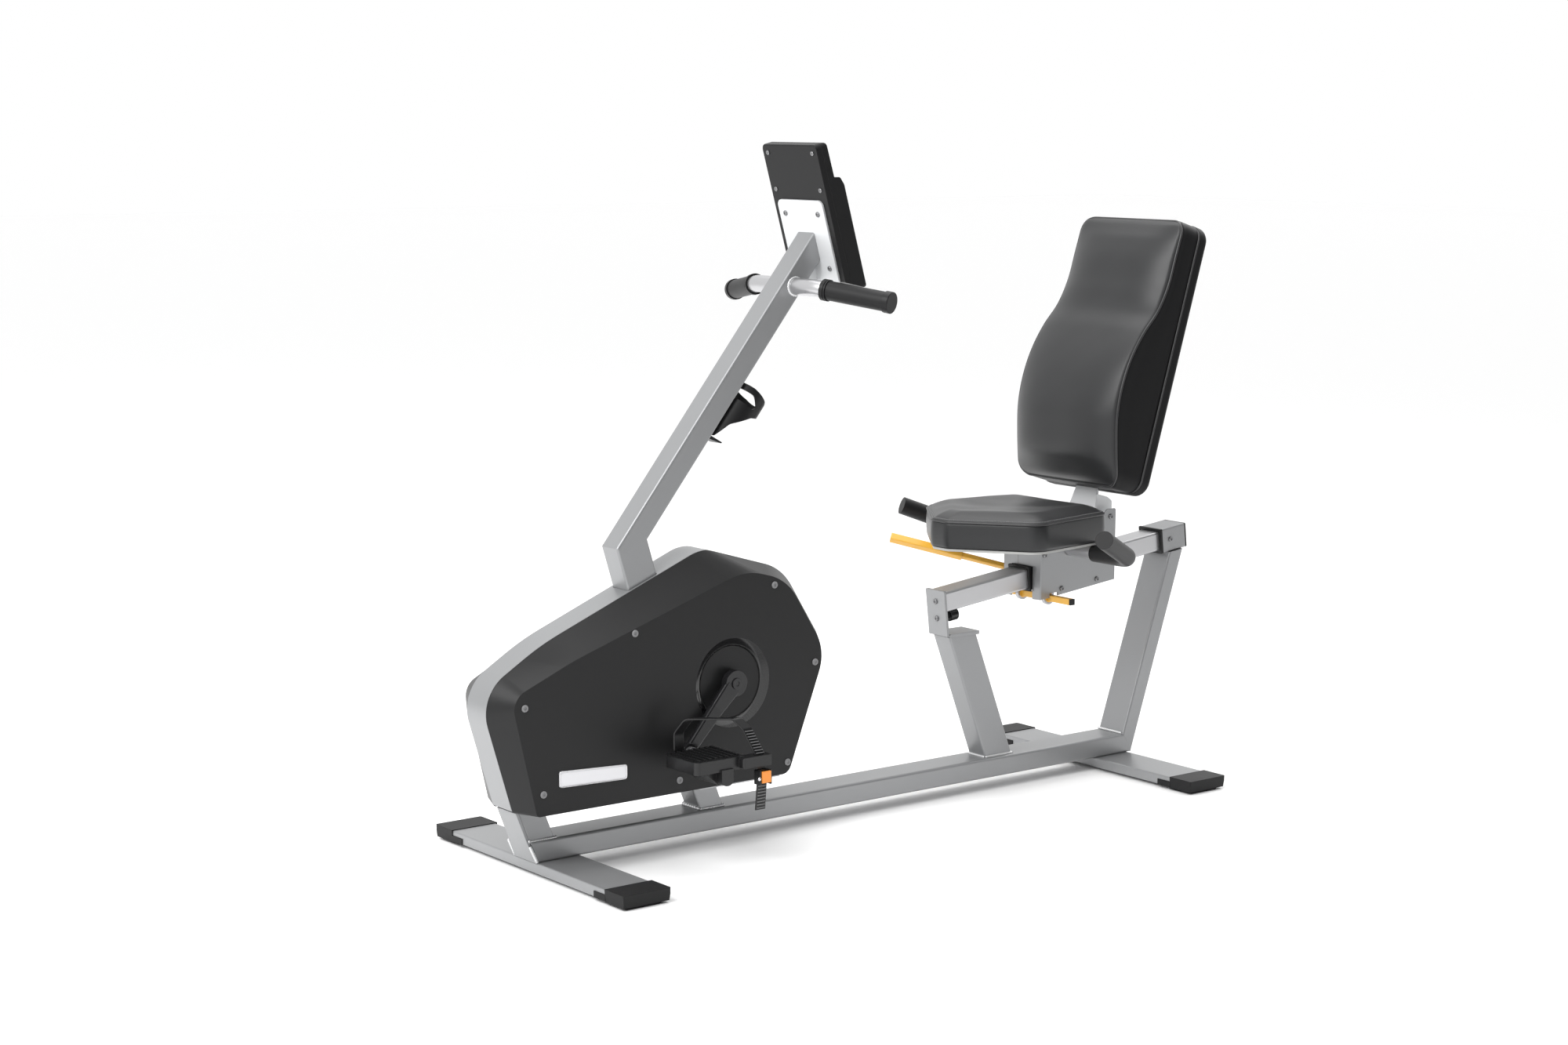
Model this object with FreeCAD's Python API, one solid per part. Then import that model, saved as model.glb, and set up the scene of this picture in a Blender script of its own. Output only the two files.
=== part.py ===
import FreeCAD, Part
import math
import os

# Recumbent exercise bike. Millimetres, +Z up, the rider faces -X and the rider's left is -Y.
# Every length along the machine (x) is a station from the front edge of the front crossbar, and
# heights (z) are from the floor. At the end everything is moved so that the origin lies on the
# floor under the middle of the overall box.

Vector = FreeCAD.Vector

# --- driving dimensions: base frame ---
CROSSBAR_LENGTH = 604.0
CROSSBAR_DEPTH = 94.0
CROSSBAR_HEIGHT = 20.0
CROSSBAR_TOP = 26.0
CAP_LENGTH = 59.0
CAP_OVERLAP = 2.3
CAP_TOP_LIP = 1.5
PAD_HEIGHT = 4.5
TOTAL_WIDTH = 616.0
FRONT_STATION = 49.3
REAR_STATION = 1414.4
TUBE_WALL = 3.0
BEAM_WIDTH = 72.0
BEAM_HEIGHT = 40.0
BEAM_TOP = CROSSBAR_TOP + BEAM_HEIGHT
FRAME_TUBE = 50.0
FRONT_SUPPORT_WIDTH = 60.0
FRONT_PLATE = 5.0
SUPPORT_LEAN = 22.0
SUPPORT_TOP = 150.0
CHASSIS_PLATE_BOTTOM = 114.0
CHASSIS_PLATE = 5.0
MID_SUPPORT_STATION = 366.0

# --- driving dimensions: seat rail and its legs ---
RAIL_SLOPE = 6.6
RAIL_WIDTH = 50.0
RAIL_HEIGHT = 40.0
RAIL_START = 957.0
RAIL_START_HEIGHT = 391.0
SLEEVE_START = 1553.0
SLEEVE_END = 1618.0
REAR_LEG_FOOT = 1469.5
REAR_LEG_LEAN = 18.6
REAR_LEG_DEPTH = 36.0
SLEEVE_WIDTH = 62.0
FRONT_LEG_FOOT = 1072.0
FRONT_LEG_LEAN = 21.3
FRONT_LEG_DEPTH = 66.0
FRONT_LEG_TOP = 320.0

# --- driving dimensions: casing and drive ---
CASING_BOTTOM = 122.0
CASING_HALF_WIDTH = 80.0
BAND_HALF_WIDTH = 31.0
BAND_TIP_CENTRE = 358.0
SHELL_WALL = 3.0
CRANK_X = 400.0
CRANK_Z = 310.0
CRANK_LENGTH = 160.0
CRANK_ANGLE = 43.0
DISH_OUTER = 83.5
DISH_INNER = 67.5
DISH_DEPTH = 11.0
PULLEY_RADIUS = 95.0
SMALL_PULLEY_RADIUS = 28.0
FLYWHEEL_X = 130.0
FLYWHEEL_Z = 275.0
FLYWHEEL_RADIUS = 120.0
BELT_THICKNESS = 3.0
BELT_GAP = 0.4
RUNNING_GAP = 0.05

# --- driving dimensions: console post, console and handlebar ---
POST_LEAN = 38.9
POST_DEPTH = 45.0
FOOT_LEAN = -17.4
FOOT_DEPTH = 67.5
MITRE_FRONT = (183.0, 569.0)
MITRE_REAR = (250.0, 582.0)
CONSOLE_TILT = -16.3
CONSOLE_X = 654.0
CONSOLE_Z = 1028.0
CONSOLE_HALF_WIDTH = 80.0
PLATE_HALF_WIDTH = 66.0
HANDLEBAR_X = 583.0
HANDLEBAR_Z = 1022.0
HANDLEBAR_TUBE = 32.0
HANDLEBAR_BEND_Y = 88.0
HANDLEBAR_END = (639.0, 236.0, 1001.0)
GRIP_DIAMETER = 36.0

# --- driving dimensions: seat ---
CARRIAGE_FRONT = 1186.0
CARRIAGE_REAR = 1391.0
CARRIAGE_HALF_WIDTH = 55.0
DECK_TOP = 492.0
BOARD_THICKNESS = 5.0
CUSHION_HEIGHT = 54.0
CUSHION_CROWN = 16.0
SEAT_NOSE = 962.0
SEAT_WIDEST = 1076.0
SEAT_REAR = 1295.0
SEAT_HALF_WIDTH = 170.0
SEAT_REAR_HALF_WIDTH = 133.0
HANDLE_X = 1263.0
HANDLE_Z = 475.0
HANDLE_BEND_Y = 226.0
HANDLE_END = (1121.0, 298.0, 534.0)
HANDLE_TUBE = 27.0
BACK_RECLINE = 17.0
BACK_X = 1392.0
BACK_Z = 574.5
BACK_HEIGHT = 558.0
BACK_HALF_WIDTH = 145.0
BACK_SHELL = 27.0
LEVER_X = 1222.0
LEVER_Z = 377.0
LEVER_BAR = 12.0

# --- driving dimensions: pedals ---
PEDAL_INNER_Y = 120.0
PEDAL_OUTER_Y = 218.0
PEDAL_FRONT = -66.0
PEDAL_REAR = 39.0
PEDAL_TOP = 12.0
PEDAL_THICKNESS = 26.0
STRAP_WIDTH = 20.0
STRAP_THICKNESS = 2.5

parts = {}


# --- small tools ---

def sin_deg(angle):
    return math.sin(math.radians(angle))


def cos_deg(angle):
    return math.cos(math.radians(angle))


def tan_deg(angle):
    return math.tan(math.radians(angle))


def on_side(y):
    """Lift an outline drawn as (x, z) onto the upright plane at y."""
    return lambda u, v: Vector(u, y, v)


def on_level(z):
    """Lift an outline drawn as (x, y) onto the level plane at z."""
    return lambda u, v: Vector(u, v, z)


def on_front(x):
    """Lift an outline drawn as (y, z) onto the upright cross plane at x."""
    return lambda u, v: Vector(x, u, v)


def rounded_wire(points, radii, lift):
    """Closed wire through the points, with each corner rounded to its radius."""
    edges = []
    starts = []
    ends = []
    middles = []
    count = len(points)
    for i in range(count):
        corner = Vector(points[i][0], points[i][1], 0)
        before = Vector(points[i - 1][0], points[i - 1][1], 0) - corner
        after = Vector(points[(i + 1) % count][0], points[(i + 1) % count][1], 0) - corner
        before.normalize()
        after.normalize()
        half_angle = before.getAngle(after) / 2
        radius = radii[i]
        reach = radius / math.tan(half_angle)
        bisector = before + after
        if radius > 0:
            bisector.normalize()
        middles.append(corner + bisector * (radius / math.sin(half_angle) - radius))
        starts.append(corner + before * reach)
        ends.append(corner + after * reach)
    for i in range(count):
        if radii[i] > 0:
            arc = Part.Arc(
                lift(starts[i].x, starts[i].y),
                lift(middles[i].x, middles[i].y),
                lift(ends[i].x, ends[i].y),
            )
            edges.append(arc.toShape())
        following = starts[(i + 1) % count]
        edges.append(Part.makeLine(lift(ends[i].x, ends[i].y), lift(following.x, following.y)))
    return Part.Wire(edges)


def prism(points, radii, lift, travel):
    """Solid made by moving a rounded outline along travel."""
    if not isinstance(radii, (list, tuple)):
        radii = [radii] * len(points)
    return Part.Face(rounded_wire(points, radii, lift)).extrude(travel)


def side_plate(points, radii, y_low, y_high):
    """Plate whose outline is drawn in side view, between two y values."""
    return prism(points, radii, on_side(y_low), Vector(0, y_high - y_low, 0))


def inset(points, distance):
    """Outline moved inwards by distance; the points run anticlockwise."""
    moved = []
    count = len(points)
    for i in range(count):
        corner = Vector(points[i][0], points[i][1], 0)
        along_in = corner - Vector(points[i - 1][0], points[i - 1][1], 0)
        along_out = Vector(points[(i + 1) % count][0], points[(i + 1) % count][1], 0) - corner
        along_in.normalize()
        along_out.normalize()
        normal_in = Vector(-along_in.y, along_in.x, 0)
        normal_out = Vector(-along_out.y, along_out.x, 0)
        shift = (normal_in + normal_out) * (distance / (1 + normal_in.dot(normal_out)))
        moved.append((corner.x + shift.x, corner.y + shift.y))
    return moved


def block(x_low, x_high, y_low, y_high, z_low, z_high):
    size = (x_high - x_low, y_high - y_low, z_high - z_low)
    return Part.makeBox(size[0], size[1], size[2], Vector(x_low, y_low, z_low))


def rod(start, end, radius):
    """Round bar from start to end."""
    along = end - start
    return Part.makeCylinder(radius, along.Length, start, along)


def rod_y(x, z, radius, y_low, y_high):
    """Round bar parallel to the Y axis."""
    return rod(Vector(x, y_low, z), Vector(x, y_high, z), radius)


def ring_y(x, z, outer, inner, y_low, y_high):
    return rod_y(x, z, outer, y_low, y_high).cut(rod_y(x, z, inner, y_low, y_high))


def mirrored(shape):
    """The same piece on the other side of the machine."""
    return shape.mirror(Vector(0, 0, 0), Vector(0, 1, 0))


def both_sides(shape):
    return [shape, mirrored(shape)]


def group(shapes):
    return Part.makeCompound(shapes)


def section_wire(depth, width, radius):
    """Rounded rectangle about the origin, depth along x and width along y."""
    x = depth / 2
    y = width / 2
    corners = [(-x, -y), (x, -y), (x, y), (-x, y)]
    return rounded_wire(corners, [radius] * 4, on_level(0))


def tube(start, end, depth, width, wall, radius=4.0):
    """Rectangular tube along a line drawn in side view, from start (x, z) to end (x, z)."""
    along = Vector(end[0] - start[0], 0, end[1] - start[1])
    outside = Part.Face(section_wire(depth, width, radius)).extrude(Vector(0, 0, along.Length))
    if wall > 0:
        hollow = section_wire(depth - 2 * wall, width - 2 * wall, max(radius - wall, 1.0))
        outside = outside.cut(Part.Face(hollow).extrude(Vector(0, 0, along.Length)))
    lean = math.degrees(math.atan2(along.x, along.z))
    outside.Placement = FreeCAD.Placement(
        Vector(start[0], 0, start[1]), FreeCAD.Rotation(Vector(0, 1, 0), lean)
    )
    return outside


def left_of(start, end):
    """Very large solid on the left of the side-view line that runs from start to end."""
    reach = 3000.0
    along = Vector(end[0] - start[0], end[1] - start[1], 0)
    along.normalize()
    normal = Vector(-along.y, along.x, 0)
    first = Vector(start[0], start[1], 0) - along * reach
    second = Vector(start[0], start[1], 0) + along * reach
    corners = [first, second, second + normal * reach, first + normal * reach]
    return side_plate([(c.x, c.y) for c in corners], 0, -400, 400)


def leaning_point(x, z, lean, travel):
    """Point reached from (x, z) after going up a line that leans rearwards by lean degrees."""
    return (x + travel * sin_deg(lean), z + travel * cos_deg(lean))


def rail_height(x):
    """Height of the rail's centre line at station x."""
    return RAIL_START_HEIGHT + (x - RAIL_START) * tan_deg(RAIL_SLOPE)


def bent_path(points, radius):
    """Wire through three points, with the middle corner bent to the radius."""
    first, corner, last = points
    towards_first = first - corner
    towards_last = last - corner
    towards_first.normalize()
    towards_last.normalize()
    half_angle = towards_first.getAngle(towards_last) / 2
    reach = radius / math.tan(half_angle)
    bisector = towards_first + towards_last
    bisector.normalize()
    middle = corner + bisector * (radius / math.sin(half_angle) - radius)
    bend_start = corner + towards_first * reach
    bend_end = corner + towards_last * reach
    return Part.Wire([
        Part.makeLine(first, bend_start),
        Part.Arc(bend_start, middle, bend_end).toShape(),
        Part.makeLine(bend_end, last),
    ])


def pipe(path, radius):
    """Round solid that follows a path."""
    start = path.Edges[0].firstVertex(True).Point
    direction = path.Edges[0].tangentAt(path.Edges[0].FirstParameter)
    circle = Part.Wire(Part.makeCircle(radius, start, direction))
    return path.makePipeShell([circle], True, True)


def screw(position, direction, radius=5.5, height=3.4):
    """Domed cap screw head with a hexagon socket, sitting on a face."""
    axis = Vector(direction)
    axis.normalize()
    head = Part.makeCylinder(radius, height, position, axis)
    rim = [e for e in head.Edges if (e.CenterOfMass - position).dot(axis) > height * 0.9]
    head = head.makeFillet(height * 0.6, rim[:1])
    socket = Part.makeCylinder(radius * 0.42, height * 0.6, position + axis * (height * 0.5), axis)
    return head.cut(socket)


# --- base frame ---

def crossbar(station):
    """Flat tube across the machine, lying on its wide side."""
    half = CROSSBAR_DEPTH / 2
    low = CROSSBAR_TOP - CROSSBAR_HEIGHT
    corners = [
        (station - half, low),
        (station + half, low),
        (station + half, CROSSBAR_TOP),
        (station - half, CROSSBAR_TOP),
    ]
    outside = side_plate(corners, 3.0, -CROSSBAR_LENGTH / 2, CROSSBAR_LENGTH / 2)
    inside = side_plate(inset(corners, 2.5), 1.0, -CROSSBAR_LENGTH / 2, CROSSBAR_LENGTH / 2)
    return outside.cut(inside)


def crossbar_cap(station):
    """End cap on the -Y end of a crossbar: a tapered block with a low flap along each side."""
    half = CROSSBAR_DEPTH / 2 + CAP_OVERLAP
    top = CROSSBAR_TOP + CAP_TOP_LIP
    inner = -(TOTAL_WIDTH / 2 - CAP_LENGTH)
    outer = -TOTAL_WIDTH / 2
    taper = 5.0
    outline = [
        (station - half, outer), (station + half, outer), (station + half, inner), (station - half, inner)
    ]
    height = Vector(0, 0, top - PAD_HEIGHT)
    cap = prism(outline, [5.0, 5.0, 0.0, 0.0], on_level(PAD_HEIGHT), height)
    side_taper = CAP_OVERLAP - 0.8
    cap = cap.cut(left_of((station - half + side_taper, PAD_HEIGHT), (station - half, top)))
    cap = cap.cut(left_of((station + half, top), (station + half - side_taper, PAD_HEIGHT)))
    wedge = [
        (outer - 20, PAD_HEIGHT - 5),
        (outer + taper, PAD_HEIGHT - 5),
        (outer, top + 5),
        (outer - 20, top + 5),
    ]
    cap = cap.cut(prism(wedge, 0, on_front(station - 100), Vector(200, 0, 0)))
    flap_end = inner + 34.0
    for side in (-1, 1):
        edge = station + side * half
        near_tube = station + side * (CROSSBAR_DEPTH / 2)
        low_x = min(edge - side * 0.6, near_tube)
        high_x = max(edge - side * 0.6, near_tube)
        flap = block(low_x, high_x, inner - 1.0, flap_end, PAD_HEIGHT + 1.5, PAD_HEIGHT + 13.0)
        cap = cap.fuse(flap)
    tube_space = block(
        station - CROSSBAR_DEPTH / 2,
        station + CROSSBAR_DEPTH / 2,
        -CROSSBAR_LENGTH / 2,
        inner + 60.0,
        CROSSBAR_TOP - CROSSBAR_HEIGHT,
        CROSSBAR_TOP,
    )
    return cap.cut(tube_space)


def foot_pad(station):
    """Rubber pad under a cap."""
    half = CROSSBAR_DEPTH / 2 - 8.0
    outer = -TOTAL_WIDTH / 2 + 10.0
    corners = [
        (station - half, outer),
        (station + half, outer),
        (station + half, outer + 62.0),
        (station - half, outer + 62.0),
    ]
    return prism(corners, 8.0, on_level(0), Vector(0, 0, PAD_HEIGHT))


def make_base():
    stations = (FRONT_STATION, REAR_STATION)
    parts["front_crossbar"] = crossbar(FRONT_STATION)
    parts["rear_crossbar"] = crossbar(REAR_STATION)
    caps = []
    for station in stations:
        caps += both_sides(crossbar_cap(station))
        caps += both_sides(foot_pad(station))
    parts["crossbar_caps"] = group(caps)


def front_face_station(z):
    """Station of the sloping front face of the frame at height z."""
    return -(z - CROSSBAR_TOP) * tan_deg(SUPPORT_LEAN)


def rear_leg_station(z):
    """Station of the rear face of the rear leg at height z."""
    return REAR_LEG_FOOT + (z - CROSSBAR_TOP) * tan_deg(REAR_LEG_LEAN)


def make_beam():
    """Main beam, cut to the slope of the front plate and mitred into the rear leg."""
    middle = BEAM_TOP - BEAM_HEIGHT / 2
    beam = tube((-100, middle), (1700, middle), BEAM_HEIGHT, BEAM_WIDTH, TUBE_WALL, 5.0)
    offset = FRONT_PLATE / cos_deg(SUPPORT_LEAN)
    low = (front_face_station(0) + offset, 0)
    high = (front_face_station(100) + offset, 100)
    beam = beam.common(left_of(high, low))
    beam = beam.common(left_of(mitre_low(), mitre_high()))
    parts["main_beam"] = beam


def mitre_low():
    return (REAR_LEG_FOOT, CROSSBAR_TOP)


def mitre_high():
    width = REAR_LEG_DEPTH / cos_deg(REAR_LEG_LEAN)
    return (rear_leg_station(BEAM_TOP) - width, BEAM_TOP)


def make_supports():
    """Two leaning posts that carry the casing, and the plate that closes the front end."""
    offset = FRONT_PLATE / cos_deg(SUPPORT_LEAN)
    half = FRAME_TUBE / 2 / cos_deg(SUPPORT_LEAN)
    foot = front_face_station(BEAM_TOP) + offset + half
    front = support(foot, SUPPORT_TOP, FRONT_SUPPORT_WIDTH)
    middle = support(MID_SUPPORT_STATION + half, CHASSIS_PLATE_BOTTOM, FRAME_TUBE)
    low_x = front_face_station(CROSSBAR_TOP)
    plate = Part.makeLoft(
        [plate_edge(low_x, CROSSBAR_TOP, 38.0), plate_edge(front_face_station(BEAM_TOP), BEAM_TOP, 31.0)],
        True,
        True,
    )
    upper_top = CASING_BOTTOM - 1.0
    upper = Part.makeLoft(
        [
            plate_edge(front_face_station(BEAM_TOP), BEAM_TOP, 31.0),
            plate_edge(front_face_station(upper_top), upper_top, 31.0),
        ],
        True,
        True,
    )
    parts["casing_supports"] = group([front, middle, plate.fuse(upper).removeSplitter()])


def plate_edge(x, z, half_width):
    """Level outline of the front plate at one height."""
    thick = FRONT_PLATE / cos_deg(SUPPORT_LEAN)
    corners = [(x, -half_width), (x + thick, -half_width), (x + thick, half_width), (x, half_width)]
    return rounded_wire(corners, [0] * 4, on_level(z))


def support(foot_station, top, width):
    """Square post leaning forwards as it rises, standing on the beam."""
    low = (foot_station + 60 * tan_deg(SUPPORT_LEAN), BEAM_TOP - 60)
    high = (foot_station - 140 * tan_deg(SUPPORT_LEAN), BEAM_TOP + 140)
    post = tube(low, high, FRAME_TUBE, width, TUBE_WALL)
    return post.common(block(-200, 700, -60, 60, BEAM_TOP, top))


# --- seat rail and legs ---

def make_front_leg():
    """Front leg of the seat rail, with a closing plate on top."""
    width = FRONT_LEG_DEPTH / cos_deg(FRONT_LEG_LEAN)
    centre = FRONT_LEG_FOOT + width / 2
    slope = tan_deg(FRONT_LEG_LEAN)
    low = (centre + 60 * slope, BEAM_TOP - 60)
    high = (centre - 320 * slope, BEAM_TOP + 320)
    leg = tube(low, high, FRONT_LEG_DEPTH, FRAME_TUBE, TUBE_WALL)
    leg = leg.common(block(900, 1300, -60, 60, BEAM_TOP, FRONT_LEG_TOP))
    top_centre = centre - (FRONT_LEG_TOP - BEAM_TOP) * slope
    front = top_centre - width / 2
    closing = block(front, front + width + 5, -27, 27, FRONT_LEG_TOP, FRONT_LEG_TOP + 7)
    parts["seat_front_leg"] = group([leg, closing.makeFillet(2.0, closing.Edges[:4])])


def make_rear_leg():
    """Rear leg, mitred into the beam, with the sleeve that holds the rail's rear end."""
    along = REAR_LEG_DEPTH / 2 / cos_deg(REAR_LEG_LEAN)
    low = (rear_leg_station(-60) - along, -60)
    high = (rear_leg_station(520) - along, 520)
    leg = tube(low, high, REAR_LEG_DEPTH, BEAM_WIDTH, TUBE_WALL)
    leg = leg.common(left_of(mitre_high(), mitre_low()))
    leg = leg.common(block(1300, 1700, -60, 60, CROSSBAR_TOP, 600))
    sleeve_low = rail_line(-25.5)
    leg = leg.common(left_of(sleeve_low[1], sleeve_low[0]))
    outer = tube(sleeve_point(SLEEVE_START), sleeve_point(SLEEVE_END), 51, SLEEVE_WIDTH, 0, 3.0)
    space = tube(sleeve_point(SLEEVE_START - 20), sleeve_point(SLEEVE_END + 20), 44, 54, 0, 1.5)
    parts["seat_rear_leg"] = group([leg, outer.cut(space)])


def rail_line(offset):
    """Two points on a line parallel to the rail, offset upwards from its centre line."""
    lift = offset / cos_deg(RAIL_SLOPE)
    return [(1000, rail_height(1000) + lift), (1700, rail_height(1700) + lift)]


def sleeve_point(x):
    return (x, rail_height(x))


def make_rail():
    parts["seat_rail"] = tube(
        sleeve_point(RAIL_START + 5), sleeve_point(SLEEVE_END - 4), RAIL_HEIGHT, RAIL_WIDTH, 3.5, 4.0
    )
    end_plate = tube(sleeve_point(RAIL_START), sleeve_point(RAIL_START + 5), 92, 55, 0, 2.0)
    shift = 23.0
    end_plate.translate(Vector(shift * sin_deg(RAIL_SLOPE), 0, -shift * cos_deg(RAIL_SLOPE)))
    parts["rail_end_plate"] = end_plate
    parts["rail_stop"] = make_rail_stop()
    parts["sleeve_liner"] = make_sleeve_liner()


def make_rail_stop():
    """Bolt and rubber buffer that stop the seat at the front of its travel."""
    direction = Vector(cos_deg(RAIL_SLOPE), 0, sin_deg(RAIL_SLOPE))
    start = Vector(RAIL_START + 8.2, 0, RAIL_START_HEIGHT - 34)
    bolt = rod(start, start + direction * 24, 6.0).cut(parts["rail_end_plate"])
    buffer = rod(start + direction * 24, start + direction * 44, 12.5)
    rim = [e for e in buffer.Edges if e.Curve.TypeId == "Part::GeomCircle"]
    return group([bolt, buffer.makeFillet(2.0, rim)])


def make_sleeve_liner():
    """Plastic liner between rail and sleeve, with a flange in front, and the plug behind."""
    liner = tube(sleeve_point(SLEEVE_START), sleeve_point(SLEEVE_END - 4), 43.9, 53.9, 0, 1.5)
    flange = tube(sleeve_point(SLEEVE_START - 5), sleeve_point(SLEEVE_START), 52, SLEEVE_WIDTH + 2, 0, 2.0)
    hole = tube(sleeve_point(SLEEVE_START - 30), sleeve_point(SLEEVE_END), 40.0, 50.0, 0, 4.0)
    plug = tube(sleeve_point(SLEEVE_END), sleeve_point(SLEEVE_END + 4), 51, SLEEVE_WIDTH, 0, 3.0)
    return group([liner.fuse(flange).cut(hole), plug])


# --- console post ---

def make_post():
    """Two mitred tubes: a short foot in the casing and the long post to the console."""
    post_mid = offset_point(MITRE_FRONT, POST_LEAN, POST_DEPTH / 2)
    low = leaning_point(post_mid[0], post_mid[1], POST_LEAN, -100)
    high = leaning_point(post_mid[0], post_mid[1], POST_LEAN, 800)
    post = tube(low, high, POST_DEPTH, FRAME_TUBE, TUBE_WALL)
    post = post.common(left_of(MITRE_FRONT, MITRE_REAR))
    post = post.common(left_of(console_point(0, 0), console_point(0, 100)))
    foot_mid = offset_point(MITRE_FRONT, FOOT_LEAN, FOOT_DEPTH / 2)
    low = leaning_point(foot_mid[0], foot_mid[1], FOOT_LEAN, -300)
    high = leaning_point(foot_mid[0], foot_mid[1], FOOT_LEAN, 200)
    foot = tube(low, high, FOOT_DEPTH, FRAME_TUBE, TUBE_WALL)
    foot = foot.common(left_of(MITRE_REAR, MITRE_FRONT))
    foot = foot.common(block(0, 600, -60, 60, 440, 800))
    bar = rod_y(HANDLEBAR_X, HANDLEBAR_Z, HANDLEBAR_TUBE / 2, -60, 60)
    parts["console_post"] = group([post.cut(bar), foot])


def offset_point(point, lean, distance):
    """Point moved rearwards, square to a line with the given lean."""
    return (point[0] + distance * cos_deg(lean), point[1] - distance * sin_deg(lean))


def console_point(out, up):
    """Side-view point from the console's own axes: out towards the rider, up along the plate."""
    x = CONSOLE_X + out * cos_deg(CONSOLE_TILT) + up * sin_deg(CONSOLE_TILT)
    z = CONSOLE_Z - out * sin_deg(CONSOLE_TILT) + up * cos_deg(CONSOLE_TILT)
    return (x, z)


def console_vector(out, side, up):
    x, z = console_point(out, up)
    return Vector(x, side, z)


def to_console(shape):
    """Tilt a shape that was drawn in the console's own axes."""
    shape.Placement = FreeCAD.Placement(
        Vector(CONSOLE_X, 0, CONSOLE_Z), FreeCAD.Rotation(Vector(0, 1, 0), CONSOLE_TILT)
    )
    return shape


def console_body():
    """Whole console housing in its own axes (x out towards the rider, z up the plate)."""
    profile = [(4, 0), (50, -25), (50, 174), (44, 190), (31, 193), (30, 260), (4, 262)]
    radii = [3, 4, 9, 6, 2, 6, 3]
    body = side_plate(profile, radii, -CONSOLE_HALF_WIDTH, CONSOLE_HALF_WIDTH)
    frame = [
        (-CONSOLE_HALF_WIDTH, -30),
        (CONSOLE_HALF_WIDTH, -30),
        (CONSOLE_HALF_WIDTH, 264),
        (-CONSOLE_HALF_WIDTH, 264),
    ]
    return body.common(prism(frame, 14.0, on_front(0), Vector(60, 0, 0)))


def make_console():
    plate_outline = [
        (-PLATE_HALF_WIDTH, 0), (PLATE_HALF_WIDTH, 0), (PLATE_HALF_WIDTH, 157), (-PLATE_HALF_WIDTH, 157)
    ]
    plate = prism(plate_outline, [3, 3, 12, 12], on_front(0), Vector(4, 0, 0))
    gusset_corners = [console_point(0, 4), console_point(0, 34), (606, 1021), (612, 1012)]
    gusset = side_plate(gusset_corners, 0, -3, 3)
    post_rear = offset_point(MITRE_FRONT, POST_LEAN, POST_DEPTH)
    post_up = leaning_point(post_rear[0], post_rear[1], POST_LEAN, 100)
    gusset = gusset.cut(left_of(post_rear, post_up))
    parts["console_plate"] = group([to_console(plate), gusset])

    body = console_body()
    hollow = console_cavity()
    back = body.common(block(0, 17, -200, 200, -100, 400)).cut(hollow)
    front = body.common(block(17.3, 80, -200, 200, -100, 400)).cut(hollow)
    display_space = prism(display_outline(), 6.0, on_front(47.5), Vector(10, 0, 0))
    keypad_space = prism(keypad_outline(), 6.0, on_front(49.0), Vector(10, 0, 0))
    front = front.cut(display_space).cut(keypad_space)
    parts["console_back_shell"] = to_console(back)
    parts["console_front_shell"] = to_console(front)
    display = prism(inset(display_outline(), 0.15), 5.8, on_front(47.5), Vector(2.2, 0, 0))
    parts["console_display"] = to_console(display)
    keypad = prism(inset(keypad_outline(), 0.15), 5.8, on_front(49.0), Vector(0.9, 0, 0))
    parts["console_keypad"] = to_console(keypad)


def console_cavity():
    """Space inside the console for its electronics."""
    profile = [(7, 5), (46, -16), (46, 170), (40, 186), (27, 189), (27, 255), (7, 257)]
    return side_plate(profile, 2.0, -CONSOLE_HALF_WIDTH + 4, CONSOLE_HALF_WIDTH - 4)


def display_outline():
    return [(-62, 78), (62, 78), (62, 158), (-62, 158)]


def keypad_outline():
    return [(-62, -12), (62, -12), (62, 68), (-62, 68)]


# --- handlebar ---

def handlebar_path():
    corner = Vector(HANDLEBAR_X, -HANDLEBAR_BEND_Y, HANDLEBAR_Z)
    end = Vector(HANDLEBAR_END[0], -HANDLEBAR_END[1], HANDLEBAR_END[2])
    along = end - corner
    along.normalize()
    return corner, end, along


def make_handlebar():
    corner, end, along = handlebar_path()
    start = Vector(HANDLEBAR_X, 0, HANDLEBAR_Z)
    bar_end = end - along * 3.0
    half_bar = pipe(bent_path([start, corner, bar_end], 60.0), HANDLEBAR_TUBE / 2)
    half_bar = half_bar.cut(rod(bar_end - along * 60, bar_end + along, HANDLEBAR_TUBE / 2 - 2.5))
    bar = half_bar.fuse(mirrored(half_bar)).removeSplitter()
    parts["handlebar"] = bar

    grip_start = end - along * 132.0
    grip_end = end - along * 13.0
    grip = rod(grip_start, grip_end, GRIP_DIAMETER / 2).cut(rod(grip_start, end, HANDLEBAR_TUBE / 2))
    parts["handlebar_grips"] = group(both_sides(grip))

    collar_start = end - along * 144.0
    collar = rod(collar_start, grip_start, 20.0).cut(rod(collar_start, end, HANDLEBAR_TUBE / 2))
    groove = rod(collar_start + along * 7.5, collar_start + along * 9.0, 21.0)
    groove = groove.cut(rod(collar_start, end, 18.6))
    cap = rod(grip_end, end, 20.0).cut(rod(grip_end, bar_end, HANDLEBAR_TUBE / 2))
    rim = [e for e in cap.Edges if (e.CenterOfMass - end).Length < 0.5]
    cap = cap.makeFillet(1.5, rim)
    parts["handlebar_rings"] = group(both_sides(collar.cut(groove)) + both_sides(cap))


# --- bottle cage ---

def to_post(shape):
    """Move a shape drawn with x away from the post and z up it onto the post's rear face."""
    rear = offset_point(MITRE_FRONT, POST_LEAN, POST_DEPTH)
    base = leaning_point(rear[0], rear[1], POST_LEAN, 343)
    shape.Placement = FreeCAD.Placement(
        Vector(base[0], 0, base[1]), FreeCAD.Rotation(Vector(0, 1, 0), POST_LEAN)
    )
    return shape


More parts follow.
